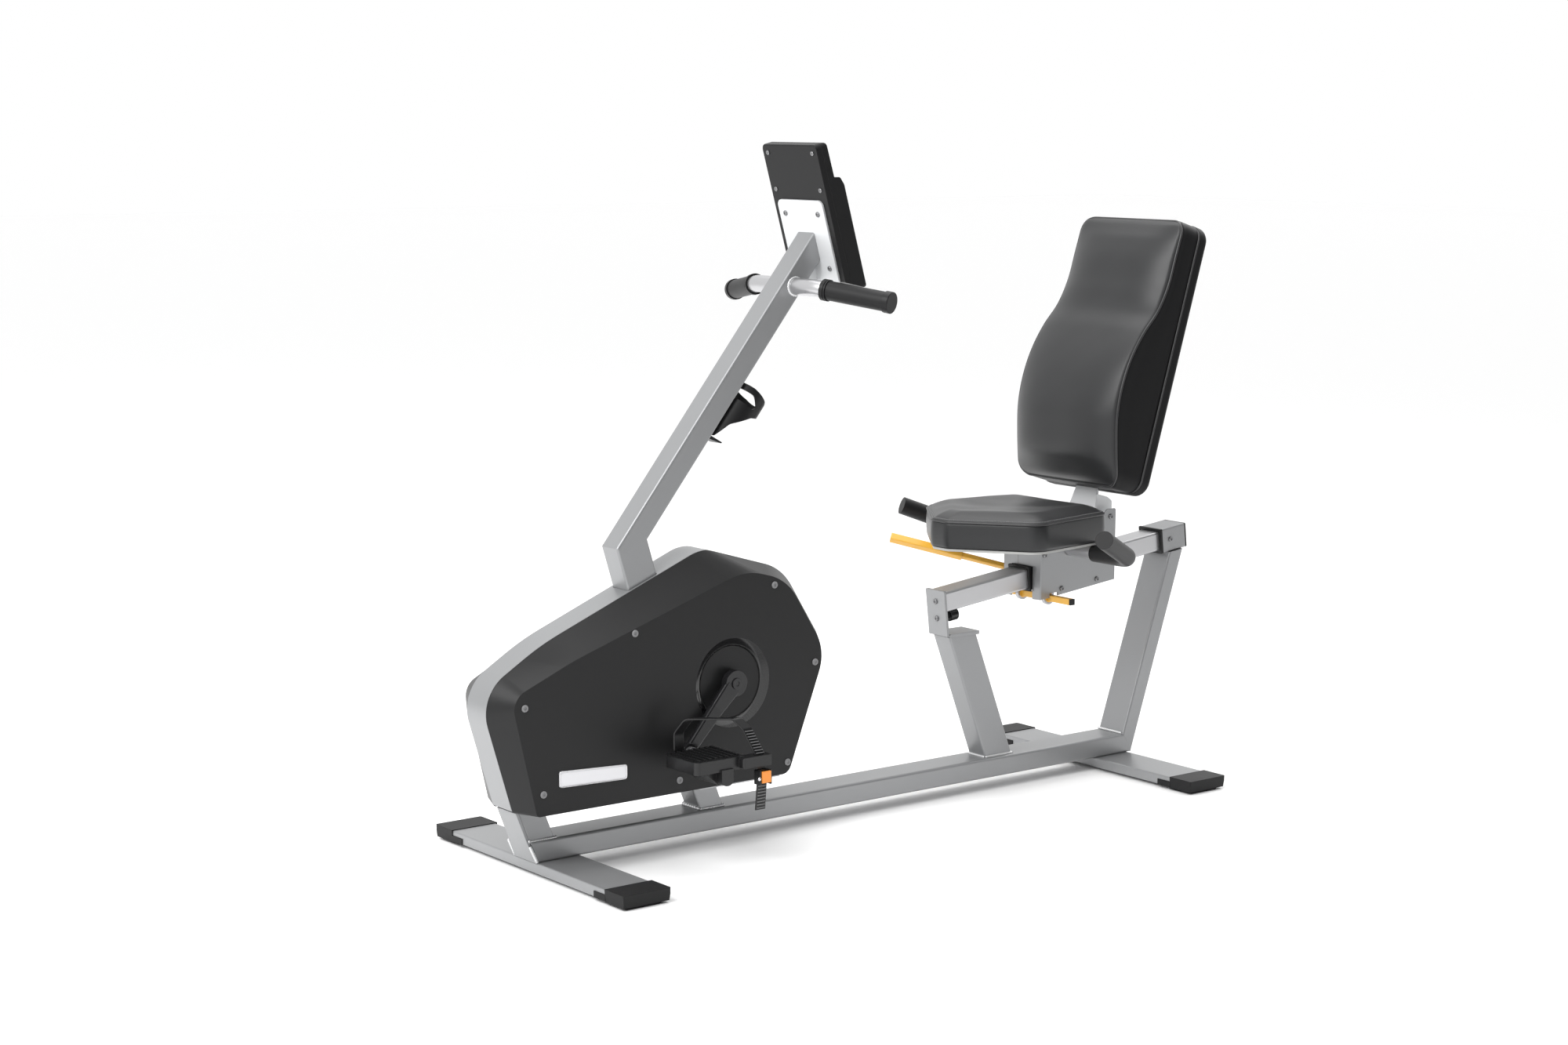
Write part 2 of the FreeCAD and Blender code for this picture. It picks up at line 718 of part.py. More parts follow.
def make_bottle_cage():
    """Moulded cage: a strip on the post, an open ring round the bottle and a lip under it."""
    outer = 36.0
    wall = 3.2
    shell = Part.makeCylinder(outer, 140, Vector(outer, 0, -70))
    shell = shell.cut(Part.makeCylinder(outer - wall, 140, Vector(outer, 0, -70)))
    contour = [
        (-1, -60), (6, -60), (16, -26), (45, 8), (66, 20),
        (74, 24), (74, 44), (56, 52), (21, 57), (-1, 57),
    ]
    shell = shell.common(side_plate(contour, [0, 2, 20, 12, 2, 2, 8, 8, 8, 0], -50, 50))
    window = [(-1, 24), (36, 21), (44, 29), (27, 45), (-1, 45)]
    shell = shell.cut(side_plate(window, [0, 5, 5, 12, 0], -50, 50))
    strip = block(0, 3.2, -14, 14, -69, 60)
    lip = [(0, -70), (31, -60), (33, -57), (3, -62)]
    foot = side_plate(lip, [1, 1, 1, 0], -16, 16)
    parts["bottle_cage"] = to_post(shell.fuse([strip, foot]).removeSplitter())


# --- casing ---

def outer_outline():
    """Side outline of the casing where the shells meet the silver band."""
    return [
        (-45, CASING_BOTTOM),
        (548, CASING_BOTTOM),
        (650, 345),
        (550, 501),
        (365, 555),
        (15, 415),
        (-111.5, 339),
    ]


def outer_radii():
    return [8, 25, 70, 110, 80, 500, 76]


def face_outline():
    """Side outline of the flat outer face of each shell."""
    return [
        (-25, CASING_BOTTOM),
        (530, CASING_BOTTOM),
        (616, 345),
        (525, 488),
        (430, 514),
        (50, 389),
        (-76, 337),
    ]


def face_radii():
    return [8, 22, 80, 110, 130, 500, 35]


def thinner(radii, amount):
    return [max(r - amount, 2) for r in radii]


def half_casing(distance):
    """Solid of one half of the casing, moved inwards by distance."""
    outer = inset(outer_outline(), distance)
    face = inset(face_outline(), distance)
    outer_r = thinner(outer_radii(), distance)
    face_r = thinner(face_radii(), distance)
    face_y = -CASING_HALF_WIDTH + distance
    flank = Part.makeLoft(
        [
            rounded_wire(outer, outer_r, on_side(-BAND_HALF_WIDTH)),
            rounded_wire(face, face_r, on_side(face_y)),
        ],
        True,
        True,
    )
    middle = side_plate(outer, outer_r, -BAND_HALF_WIDTH, -0.15)
    return flank.fuse(middle)


def band_zone(margin):
    """Plan area of the silver band, with its round rear tip, as a tall solid."""
    half = BAND_HALF_WIDTH + margin
    low = CASING_BOTTOM + 4 - margin
    straight = block(-300, BAND_TIP_CENTRE, -half, half, low, 800)
    tip = Part.makeCylinder(half, 800 - low, Vector(BAND_TIP_CENTRE, 0, low))
    return straight.fuse(tip).cut(block(-40, 500, -60, 60, 0, 240))


def make_casing():
    shell = half_casing(0).cut(half_casing(SHELL_WALL))
    shell = shell.cut(band_zone(0.3).cut(half_casing_core()))
    bowl = Part.makeCone(
        DISH_INNER + 3, DISH_OUTER + 3, DISH_DEPTH + 3,
        Vector(CRANK_X, -CASING_HALF_WIDTH + DISH_DEPTH + 3, CRANK_Z), Vector(0, -1, 0),
    )
    funnel = Part.makeCone(
        DISH_INNER, DISH_OUTER, DISH_DEPTH,
        Vector(CRANK_X, -CASING_HALF_WIDTH + DISH_DEPTH, CRANK_Z), Vector(0, -1, 0),
    )
    opening = rod_y(CRANK_X, CRANK_Z, DISH_INNER, -CASING_HALF_WIDTH - 5, -40)
    shell = shell.fuse(bowl).cut(funnel).cut(opening)
    floor_gap = block(-30, 530, -64, 64, CASING_BOTTOM - 5, CASING_BOTTOM + SHELL_WALL + 1)
    support_gap = block(-60, 60, -31.5, 31.5, CASING_BOTTOM - 5, SUPPORT_TOP + 4)
    post_gap = side_plate([(190, 430), (300, 430), (300, 600), (150, 600)], 0, -26.5, 26.5)
    shell = shell.cut(floor_gap).cut(support_gap).cut(post_gap)
    shell = max(shell.Solids, key=lambda s: s.Volume)
    parts["left_casing"] = shell
    parts["right_casing"] = mirrored(shell)
    parts["casing_band"] = make_band()
    parts["casing_screws"] = make_casing_screws()
    parts["side_badges"] = group(both_sides(make_badge()))


def half_casing_core():
    """Inside of both casing halves; the band lies outside it."""
    core = side_plate(
        inset(outer_outline(), 3.6), thinner(outer_radii(), 3.6), -BAND_HALF_WIDTH - 2, BAND_HALF_WIDTH + 2
    )
    return core


def make_band():
    """Silver band over the front and top of the casing, ending in a round tip."""
    skin = side_plate(outer_outline(), outer_radii(), -BAND_HALF_WIDTH, BAND_HALF_WIDTH)
    inside = inset(outer_outline(), 3.0)
    skin = skin.cut(side_plate(inside, thinner(outer_radii(), 3.0), -BAND_HALF_WIDTH, BAND_HALF_WIDTH))
    band = skin.common(band_zone(0))
    foot_mid = offset_point(MITRE_FRONT, FOOT_LEAN, FOOT_DEPTH / 2)
    low = leaning_point(foot_mid[0], foot_mid[1], FOOT_LEAN, -200)
    high = leaning_point(foot_mid[0], foot_mid[1], FOOT_LEAN, 60)
    gap = tube(low, high, FOOT_DEPTH + 1.5, FRAME_TUBE + 1.5, 0)
    return max(band.cut(gap).Solids, key=lambda s: s.Volume)


def casing_screw_places():
    """Places of the screws round the flat face of each shell."""
    return [(-49, 319), (183, 425), (495, 481), (591, 326), (527, 144), (280, 145), (-12, 161)]


def make_casing_screws():
    heads = []
    for x, z in casing_screw_places():
        head = screw(Vector(x, -CASING_HALF_WIDTH, z), Vector(0, -1, 0), 6.5, 2.6)
        heads += both_sides(head)
    return group(heads)


def make_badge():
    """Plain plate on the side of the casing."""
    corners = [(20, 169), (164, 165), (164, 191), (20, 198)]
    return side_plate(corners, 4.0, -CASING_HALF_WIDTH - 1.6, -CASING_HALF_WIDTH)


# --- drive ---

def make_chassis():
    """Spine plate inside the casing, the pad under the post's foot and the rear floor plate."""
    outline = [
        (-44, SUPPORT_TOP), (330, SUPPORT_TOP), (380, CHASSIS_PLATE_BOTTOM + CHASSIS_PLATE),
        (470, CHASSIS_PLATE_BOTTOM + CHASSIS_PLATE), (440, 320), (400, 350), (305, 432), (205, 432),
        (150, 340), (70, 240),
    ]
    spine = side_plate(outline, [0, 20, 10, 10, 20, 30, 10, 0, 60, 60], -8, 0)
    spine = spine.cut(rod_y(CRANK_X, CRANK_Z, 22.0, -20, 20))
    spine = spine.cut(rod_y(FLYWHEEL_X, FLYWHEEL_Z, 8.0, -20, 20))
    foot_pad_plate = block(208, 304, -30, 30, 432, 440)
    floor_plate = block(340, 524, -60, 60, CHASSIS_PLATE_BOTTOM, CHASSIS_PLATE_BOTTOM + CHASSIS_PLATE)
    parts["drive_chassis"] = group([spine, foot_pad_plate, floor_plate])
    parts["bottom_bracket"] = ring_y(CRANK_X, CRANK_Z, 22.0, 17.5, -45, 6)
    outer_bearing = ring_y(CRANK_X, CRANK_Z, 17.5, 10.0 + RUNNING_GAP, -45, -33)
    inner_bearing = ring_y(CRANK_X, CRANK_Z, 17.5, 10.0 + RUNNING_GAP, -6, 6)
    parts["crank_bearings"] = group([outer_bearing, inner_bearing])


def make_flywheel():
    disc = ring_y(FLYWHEEL_X, FLYWHEEL_Z, FLYWHEEL_RADIUS, 8.0 + RUNNING_GAP, 30, 52)
    recess = ring_y(FLYWHEEL_X, FLYWHEEL_Z, FLYWHEEL_RADIUS - 26, 34, 45, 53)
    small = ring_y(FLYWHEEL_X, FLYWHEEL_Z, SMALL_PULLEY_RADIUS, 8.0 + RUNNING_GAP, 8, 30)
    parts["flywheel"] = disc.cut(recess).fuse(small).removeSplitter()
    axle = rod_y(FLYWHEEL_X, FLYWHEEL_Z, 8.0, -18, 58)
    nut = rod_y(FLYWHEEL_X, FLYWHEEL_Z, 13.0, -14, -8.1).cut(axle)
    end_nut = rod_y(FLYWHEEL_X, FLYWHEEL_Z, 13.0, 53, 58).cut(axle)
    parts["flywheel_axle"] = group([axle, nut, end_nut])
    caliper = block(-12, 30, 24, 58, 252, 298).cut(block(4, 40, 27, 55, 240, 310))
    arm = block(-12, 4, 0, 24, 262, 288)
    parts["brake_magnets"] = caliper.fuse(arm).removeSplitter()
    parts["drive_belt"] = make_belt()


def belt_outline(extra):
    """Outline of the belt loop, extra millimetres outside the two pulleys, as a solid."""
    big = PULLEY_RADIUS + extra
    small = SMALL_PULLEY_RADIUS + extra
    centres = Vector(FLYWHEEL_X - CRANK_X, 0, FLYWHEEL_Z - CRANK_Z)
    heading = math.degrees(math.atan2(centres.z, centres.x))
    swing = math.degrees(math.acos((big - small) / centres.Length))
    corners = []
    for side in (1, -1):
        angle = heading + side * swing
        corners.append((CRANK_X + big * cos_deg(angle), CRANK_Z + big * sin_deg(angle)))
        corners.append((FLYWHEEL_X + small * cos_deg(angle), FLYWHEEL_Z + small * sin_deg(angle)))
    quad = side_plate([corners[0], corners[1], corners[3], corners[2]], 0, 12.5, 23.5)
    big_disc = rod_y(CRANK_X, CRANK_Z, big, 12.5, 23.5)
    return quad.fuse([big_disc, rod_y(FLYWHEEL_X, FLYWHEEL_Z, small, 12.5, 23.5)])


def make_belt():
    return belt_outline(BELT_GAP + BELT_THICKNESS).cut(belt_outline(BELT_GAP)).removeSplitter()


def make_crank():
    """Crank axle with its pulley, cover discs, arms, bolts and pedal axles."""
    parts["crank_axle"] = rod_y(CRANK_X, CRANK_Z, 10.0, -88, 88)
    pulley = ring_y(CRANK_X, CRANK_Z, PULLEY_RADIUS, 10.0, 14, 22)
    hub = ring_y(CRANK_X, CRANK_Z, 26, 10.0, 8, 28)
    rim = ring_y(CRANK_X, CRANK_Z, PULLEY_RADIUS, PULLEY_RADIUS - 6, 12, 24)
    pulley = pulley.fuse([hub, rim])
    for i in range(5):
        angle = i * 72
        x = CRANK_X + 58 * cos_deg(angle)
        z = CRANK_Z + 58 * sin_deg(angle)
        pulley = pulley.cut(rod_y(x, z, 20, 0, 40))
    parts["drive_pulley"] = pulley.removeSplitter()
    disc_outer = -CASING_HALF_WIDTH + DISH_DEPTH - 1
    disc = ring_y(CRANK_X, CRANK_Z, DISH_INNER - 1.0, 10.0, disc_outer, disc_outer + 3)
    boss = ring_y(CRANK_X, CRANK_Z, 22, 10.0, disc_outer + 3, disc_outer + 12)
    parts["crank_discs"] = group(both_sides(disc.fuse(boss).removeSplitter()))
    left = crank_arm()
    parts["crank_arms"] = group([left, across(left)])
    bolt = rod_y(CRANK_X, CRANK_Z, 10.3, -94.4, -92.02).cut(rod_y(CRANK_X, CRANK_Z, 4.5, -95, -93.2))
    parts["crank_bolts"] = group([bolt, across(bolt)])
    x, z = pedal_centre()
    axle = rod_y(x, z, 8.0, -212, -108)
    shoulder = rod_y(x, z, 11.0, -117, -108)
    axle = axle.fuse(shoulder).removeSplitter()
    parts["pedal_axles"] = group([axle, across(axle)])


def across(shape):
    """The matching piece on the right crank, which points the opposite way."""
    turned = mirrored(shape)
    turned.rotate(Vector(CRANK_X, 0, CRANK_Z), Vector(0, 1, 0), 180)
    return turned


def pedal_centre():
    x = CRANK_X - CRANK_LENGTH * cos_deg(CRANK_ANGLE)
    z = CRANK_Z - CRANK_LENGTH * sin_deg(CRANK_ANGLE)
    return (x, z)


def crank_arm():
    """Left arm, drawn along -X from the crank axle and then turned down to its angle."""
    head = rod_y(CRANK_X, CRANK_Z, 24, -92, -77)
    end = rod_y(CRANK_X - CRANK_LENGTH, CRANK_Z, 16, -108, -94)
    sections = []
    for reach, half, low, high in ((8, 18.5, -92, -79), (60, 15, -96, -83), (150, 11.5, -107, -95)):
        corners = [(low, -half), (high, -half), (high, half), (low, half)]
        lifted = [(y, z + CRANK_Z) for y, z in corners]
        sections.append(rounded_wire(lifted, [4] * 4, on_front(CRANK_X - reach)))
    web = Part.makeLoft(sections, True, True)
    arm = head.fuse([end, web])
    arm = arm.cut(rod_y(CRANK_X, CRANK_Z, 10.0, -88, -70))
    arm = arm.cut(rod_y(CRANK_X, CRANK_Z, 11.0, -100, -92))
    arm.rotate(Vector(CRANK_X, 0, CRANK_Z), Vector(0, 1, 0), -CRANK_ANGLE)
    return arm.removeSplitter()


# --- pedals ---

def pedal_body(x, z):
    """Platform with tread ribs, a keel that keeps it level, and the strap's outer bracket."""
    front = x + PEDAL_FRONT
    rear = x + PEDAL_REAR
    top = z + PEDAL_TOP
    bottom = top - PEDAL_THICKNESS
    corners = [
        (front, -PEDAL_OUTER_Y),
        (rear, -PEDAL_OUTER_Y),
        (rear, -PEDAL_INNER_Y),
        (front, -PEDAL_INNER_Y),
    ]
    body = prism(corners, 10.0, on_level(bottom), Vector(0, 0, PEDAL_THICKNESS - 3))
    for i in range(8):
        rib_x = front + 10 + i * 12
        body = body.fuse(block(rib_x, rib_x + 5, -PEDAL_OUTER_Y + 8, -PEDAL_INNER_Y - 8, top - 4, top))
    keel = [(x - 40, bottom + 1), (x + 34, bottom + 1), (x + 22, z - 38), (x - 6, z - 42)]
    body = body.fuse(side_plate(keel, [0, 0, 14, 14], -PEDAL_OUTER_Y + 14, -PEDAL_INNER_Y - 14))
    boss = [(x - 13, bottom + 4), (x + 13, bottom + 4), (x + 13, z - 40), (x - 13, z - 40)]
    body = body.fuse(side_plate(boss, [0, 0, 12, 12], -PEDAL_OUTER_Y - 4, -PEDAL_OUTER_Y + 20))
    bracket = block(rear - 12, rear + 50, -PEDAL_OUTER_Y - 14, -PEDAL_OUTER_Y + 10, bottom + 2, top - 4)
    body = body.fuse(bracket.makeFillet(4.0, bracket.Edges[:4]))
    body = body.cut(rod_y(x, z, 8.0 + RUNNING_GAP, -214, -100))
    return body


def strap_ends(x):
    """Plan points where the strap meets the pedal: inner front and outer rear."""
    return Vector(x - 37, -PEDAL_INNER_Y - 5, 0), Vector(x + 72, -PEDAL_OUTER_Y - 8, 0)


def strap_route(x, z):
    """Centre line of the strap in its own upright plane, as distance along it and height."""
    inner, outer = strap_ends(x)
    span = (outer - inner).Length
    return [
        (0, z + PEDAL_TOP - 3),
        (-1, z + 44),
        (18, z + 70),
        (104, z + 72),
        (122, z + 54),
        (span - 3, z + 6),
        (span, z - 40),
        (span - 3, z - 92),
    ]


def band_around(route, thickness):
    """Closed outline of a flat band that follows an open route."""
    sides = ([], [])
    for i, point in enumerate(route):
        here = Vector(point[0], point[1], 0)
        before = Vector(route[max(i - 1, 0)][0], route[max(i - 1, 0)][1], 0)
        after = Vector(route[min(i + 1, len(route) - 1)][0], route[min(i + 1, len(route) - 1)][1], 0)
        along_in = here - before
        along_out = after - here
        if i == 0:
            along_in = along_out
        if i == len(route) - 1:
            along_out = along_in
        normals = []
        for along in (along_in, along_out):
            unit = Vector(along).normalize()
            normals.append(Vector(-unit.y, unit.x, 0))
        shift = (normals[0] + normals[1]) * (thickness / 2 / (1 + normals[0].dot(normals[1])))
        sides[0].append((here.x + shift.x, here.y + shift.y))
        sides[1].append((here.x - shift.x, here.y - shift.y))
    return sides[1] + sides[0][::-1]


def strap_band(x, z, extra):
    """Strap solid, thickened by extra; it crosses the pedal slantwise but its width lies along X."""
    outline = band_around(strap_route(x, z), STRAP_THICKNESS + 2 * extra)
    bends = [0, 14, 16, 12, 12, 8, 8, 0]
    width = STRAP_WIDTH + 2 * extra
    inner, outer = strap_ends(x)
    heading = (outer - inner).normalize()
    corner = inner - Vector(width / 2, 0, 0)

    def slanted(u, v):
        return corner + heading * u + Vector(0, 0, v)

    return prism(outline, bends + bends[::-1], slanted, Vector(width, 0, 0))


def buckle_place(x, z):
    """Place of the buckle, on the strap below its bracket."""
    inner, outer = strap_ends(x)
    return Vector(outer.x - 1, outer.y, z - 31)


def buckle_body(x, z):
    """Black buckle: a back wall, two cheeks and the cross pin, with the strap's tail inside."""
    frame = block(-13, 13, -14, 4, -13, 13).cut(block(-10, 10, -15, -4.2, -14, 14))
    frame = frame.fuse(rod(Vector(-13, -10, 3), Vector(13, -10, 3), 1.5))
    frame.translate(buckle_place(x, z))
    return frame.cut(strap_band(x, z, 0.4))


def buckle_lever(x, z):
    """Orange lever, hinged on the buckle's cross pin."""
    outline = [(-16, -9), (-14.3, -9), (-12, -5), (-7.5, 2), (-7.5, 8), (-12, 11.5), (-16, 11.5)]
    flap = prism(outline, [1, 0.5, 2, 2, 2, 2, 2], on_front(-9.6), Vector(19.2, 0, 0))
    face = block(-9.6, 9.6, -16.5, -14.4, -9, 11.5)
    flap = flap.fuse(face).cut(rod(Vector(-13, -10, 3), Vector(13, -10, 3), 1.5 + RUNNING_GAP))
    flap.translate(buckle_place(x, z))
    return flap


def make_pedals():
    x, z = pedal_centre()
    slot = strap_band(x, z, 0.5)
    body = pedal_body(x, z).cut(slot).removeSplitter()
    body = max(body.Solids, key=lambda s: s.Volume)
    strap = group([strap_band(x, z, 0), buckle_body(x, z)])
    lever = buckle_lever(x, z)
    parts["left_pedal"] = body
    parts["left_strap"] = strap
    parts["left_buckle_lever"] = lever
    opposite = Vector(2 * (CRANK_X - x), 0, 2 * (CRANK_Z - z))
    for name, shape in (("right_pedal", body), ("right_strap", strap), ("right_buckle_lever", lever)):
        copy = mirrored(shape)
        copy.translate(opposite)
        parts[name] = copy


# --- seat ---

def make_carriage():
    """Slide on the rail: sleeve, cross plates, deck, and lugs for the release lever."""
    start = sleeve_point(CARRIAGE_FRONT + 6)
    end = sleeve_point(CARRIAGE_REAR - 4)
    sleeve = tube(start, end, 54, 64, 4.0, 3.0)
    front_plate = block(CARRIAGE_FRONT + 14, CARRIAGE_FRONT + 20, -50, 50, 448, DECK_TOP - 2)
    rear_plate = block(CARRIAGE_REAR - 34, CARRIAGE_REAR - 28, -50, 50, 464, DECK_TOP - 2)
    deck = block(CARRIAGE_FRONT + 6, CARRIAGE_REAR - 4, -50, 50, DECK_TOP - 3.4, DECK_TOP)
    inner_space = tube(start, end, 46, 56, 0, 1.0)
    frame = sleeve.fuse([front_plate.cut(inner_space), rear_plate.cut(inner_space), deck])
    for side in (-1, 1):
        low = min(side * 34, side * 42)
        lug = block(LEVER_X - 13, LEVER_X + 13, low, low + 8, LEVER_Z, 400)
        eye = rod_y(LEVER_X, LEVER_Z, 14, low, low + 8)
        near, far = sorted((side * 29, side * 42))
        cheek = block(LEVER_X - 13, LEVER_X + 13, near, far, 396, 410)
        frame = frame.fuse([lug, eye, cheek])
    rail_space = tube(sleeve_point(1100), sleeve_point(1500), 46, 56, 0, 1.0)
    frame = frame.cut(rail_space)
    frame = frame.cut(rod_y(LEVER_X, LEVER_Z, 9.5 + RUNNING_GAP, -60, 60))
    frame = frame.cut(block(LEVER_X + 28, LEVER_X + 76, -18, 18, 380, 412))
    parts["carriage_frame"] = frame.removeSplitter()
    front_liner = rail_liner(CARRIAGE_FRONT - 8).fuse(liner_lip(CARRIAGE_FRONT - 8))
    parts["carriage_liners"] = group([front_liner.removeSplitter(), rail_liner(CARRIAGE_REAR - 26)])
    cover = cover_sheet(12.0)
    other = mirrored(cover_sheet(-12.4))
    parts["carriage_covers"] = group([cover, other])
    parts["carriage_screws"] = make_carriage_screws()


def rail_liner(x):
    """Plastic frame that runs on the rail at one end of the carriage."""
    return liner_frame(x, 24, 45.9, 55.9)


def liner_lip(x):
    """Rim in front of the carriage, round the rail."""
    return liner_frame(x, 4, 50, 60)


def liner_frame(x, length, width, depth):
    """Open frame round the rail with running room inside."""
    outside = tube(sleeve_point(x), sleeve_point(x + length), width, depth, 0, 1.0)
    return outside.cut(tube(sleeve_point(x - 20), sleeve_point(x + 50), 40.6, 50.6, 0, 4.0))


def cover_sheet(seam):
    """Bent sheet over the left side and part of the front; seam is the y of its free front edge."""
    half = CARRIAGE_HALF_WIDTH
    outline = [
        (CARRIAGE_FRONT, 377), (CARRIAGE_REAR, 400), (CARRIAGE_REAR, 546), (CARRIAGE_REAR - 27, 546),
        (CARRIAGE_REAR - 46, 504), (CARRIAGE_REAR - 50, DECK_TOP - 1), (CARRIAGE_FRONT, DECK_TOP - 1),
    ]
    side = side_plate(outline, [0, 2, 4, 10, 10, 0, 0], -half, -half + 2.5)
    flange_outline = [
        (-half, 377), (-31, 376), (-31, 442), (seam, 442), (seam, DECK_TOP - 1), (-half, DECK_TOP - 1)
    ]
    flange = prism(flange_outline, 0, on_front(CARRIAGE_FRONT), Vector(2.5, 0, 0))
    sheet = side.fuse(flange).removeSplitter()
    bends = [e for e in sheet.Edges if is_upright_at(e, CARRIAGE_FRONT, -half)]
    sheet = sheet.makeFillet(2.2, bends)
    sheet = sheet.cut(rod_y(HANDLE_X, HANDLE_Z, HANDLE_TUBE / 2 + 0.5, -70, 0))
    return sheet.cut(block(LEVER_X - 11, LEVER_X + 11, -70, 0, 300, LEVER_Z + 12))


def is_upright_at(edge, x, y):
    """True for a vertical edge at the plan point (x, y)."""
    middle = edge.CenterOfMass
    return abs(middle.x - x) < 0.2 and abs(middle.y - y) < 0.2 and edge.BoundBox.ZLength > 20


def make_carriage_screws():
    heads = []
    for x, z in ((1196, 467), (1244, 395), (1341, 405), (1377, 530)):
        heads += both_sides(screw(Vector(x, -CARRIAGE_HALF_WIDTH, z), Vector(0, -1, 0)))
    return group(heads)


def seat_outline(margin):
    """Plan of the seat: a narrow nose, widest behind it, tapering to the rear."""
    corners = [
        (SEAT_NOSE, -22),
        (SEAT_WIDEST, -SEAT_HALF_WIDTH),
        (SEAT_REAR, -SEAT_REAR_HALF_WIDTH),
        (SEAT_REAR, SEAT_REAR_HALF_WIDTH),
        (SEAT_WIDEST, SEAT_HALF_WIDTH),
        (SEAT_NOSE, 22),
    ]
    return inset(corners, margin)


def make_seat():
    radii = [20, 40, 25, 25, 40, 20]
    board = prism(seat_outline(5), radii, on_level(DECK_TOP), Vector(0, 0, BOARD_THICKNESS))
    parts["seat_board"] = board
    low = DECK_TOP + BOARD_THICKNESS + 0.3
    side = prism(seat_outline(0), [24, 45, 28, 28, 45, 24], on_level(low), Vector(0, 0, CUSHION_HEIGHT))
    seam = low + CUSHION_HEIGHT
    crown = Part.makeLoft(
        [
            rounded_wire(seat_outline(3), [22, 42, 26, 26, 42, 22], on_level(seam)),
            rounded_wire(seat_outline(45), [12, 24, 12, 12, 24, 12], on_level(seam + CUSHION_CROWN)),
        ],
        True,
        True,
    )
    parts["seat_cushion"] = side.fuse(crown)


def handle_points():
    start = Vector(HANDLE_X, 0, HANDLE_Z)
    corner = Vector(HANDLE_X, -HANDLE_BEND_Y, HANDLE_Z)
    end = Vector(HANDLE_END[0], -HANDLE_END[1], HANDLE_END[2])
    return start, corner, end


def make_seat_handles():
    """One bent tube under the seat, with a soft grip round each bend."""
    start, corner, end = handle_points()
    along = (end - corner).normalize()
    tube_end = end - along * 6
    half = pipe(bent_path([start, corner, tube_end], 48.0), HANDLE_TUBE / 2)
    parts["seat_handles"] = half.fuse(mirrored(half)).removeSplitter()
    grip_start = Vector(HANDLE_X, -128, HANDLE_Z)
    grip = pipe(bent_path([grip_start, corner, end], 48.0), GRIP_DIAMETER / 2)
    core = pipe(bent_path([start, corner, tube_end], 48.0), HANDLE_TUBE / 2)
    under_board = block(HANDLE_X - 20, HANDLE_X + 20, -150, -120, DECK_TOP, DECK_TOP + 10)
    grip = grip.cut(core).cut(under_board)
    parts["seat_grips"] = group(both_sides(grip))


# --- backrest ---

def to_back(shape):
    """Move a shape drawn with x forwards from the back face and z up it onto the recline."""
    turned = shape.copy()
    turned.Placement = FreeCAD.Placement(
        Vector(BACK_X, 0, BACK_Z), FreeCAD.Rotation(Vector(0, 1, 0), BACK_RECLINE)
    )
    return turned


def back_front_face():
    """Points of the curved front face, from the top down, in the backrest's own axes."""
    return [
        (-81, BACK_HEIGHT), (-82, 480), (-84, 415), (-99, 360), (-120, 315), (-137, 255),
        (-141, 190), (-136, 140), (-119, 85), (-104, 36), (-98, 12),
    ]


def make_backrest():
    """Foam pad with a lumbar curve on a thick rear shell, held by a welded bracket."""
    curve = Part.BSplineCurve()
    curve.interpolate([Vector(x, -BACK_HALF_WIDTH, z) for x, z in back_front_face()])
    top = Vector(-BACK_SHELL - 0.3, -BACK_HALF_WIDTH, BACK_HEIGHT)
    low = Vector(-BACK_SHELL - 0.3, -BACK_HALF_WIDTH, 0)
    first = curve.StartPoint
    last = curve.EndPoint
    under = Vector(-86, -BACK_HALF_WIDTH, 0)
    outline = Part.Wire([
        Part.makeLine(top, first),
        curve.toShape(),
        Part.makeLine(last, under),
        Part.makeLine(under, low),
        Part.makeLine(low, top),
    ])
    pad = Part.Face(outline).extrude(Vector(0, 2 * BACK_HALF_WIDTH, 0))
    frame = [
        (-BACK_HALF_WIDTH, 0),
        (BACK_HALF_WIDTH, 0),
        (BACK_HALF_WIDTH, BACK_HEIGHT),
        (-BACK_HALF_WIDTH, BACK_HEIGHT),
    ]
    pad = pad.common(prism(frame, 32.0, on_front(-200), Vector(220, 0, 0)))
    strip_space = block(-BACK_SHELL - 7.0, 0, -30.5, 30.5, -10, 180.5)
    pad = pad.cut(strip_space)
    shell = prism(frame, 32.0, on_front(-BACK_SHELL), Vector(BACK_SHELL, 0, 0))
    shell = shell.makeFillet(12.0, [e for e in shell.Edges if e.BoundBox.XMin > -0.01])
    parts["backrest_cushion"] = to_back(pad)
    parts["backrest_shell"] = to_back(shell)
    parts["backrest_bracket"] = make_backrest_bracket()


def make_backrest_bracket():
    """Tapered strip up the front of the rear shell, two side cheeks and a foot on the deck."""
    shape = [(-46, -82), (46, -82), (30, 0), (30, 180), (-30, 180), (-30, 0)]
    strip = prism(shape, [0, 0, 20, 4, 4, 20], on_front(-BACK_SHELL - 6.3), Vector(6.3, 0, 0))
    strip = to_back(strip).cut(block(1200, 1500, -60, 60, 400, DECK_TOP))
    cheek_outline = [(1330, DECK_TOP), (1387, DECK_TOP), (1401, 540), (1401, 558), (1388, 567), (1352, 577)]
    cheek = side_plate(cheek_outline, [0, 0, 6, 6, 0, 0], -33, -28)
    cheek = cheek.cut(to_back(block(-400, -BACK_SHELL - 6.2, -200, 200, -300, 300)))
    cheek = cheek.cut(to_back(block(-200, 200, -200, 200, -0.4, 300)))
    foot = block(1318, 1386, -46, 46, DECK_TOP, DECK_TOP + 5)
    return strip.fuse([cheek, mirrored(cheek), foot]).removeSplitter()


# --- release lever and clamp ---

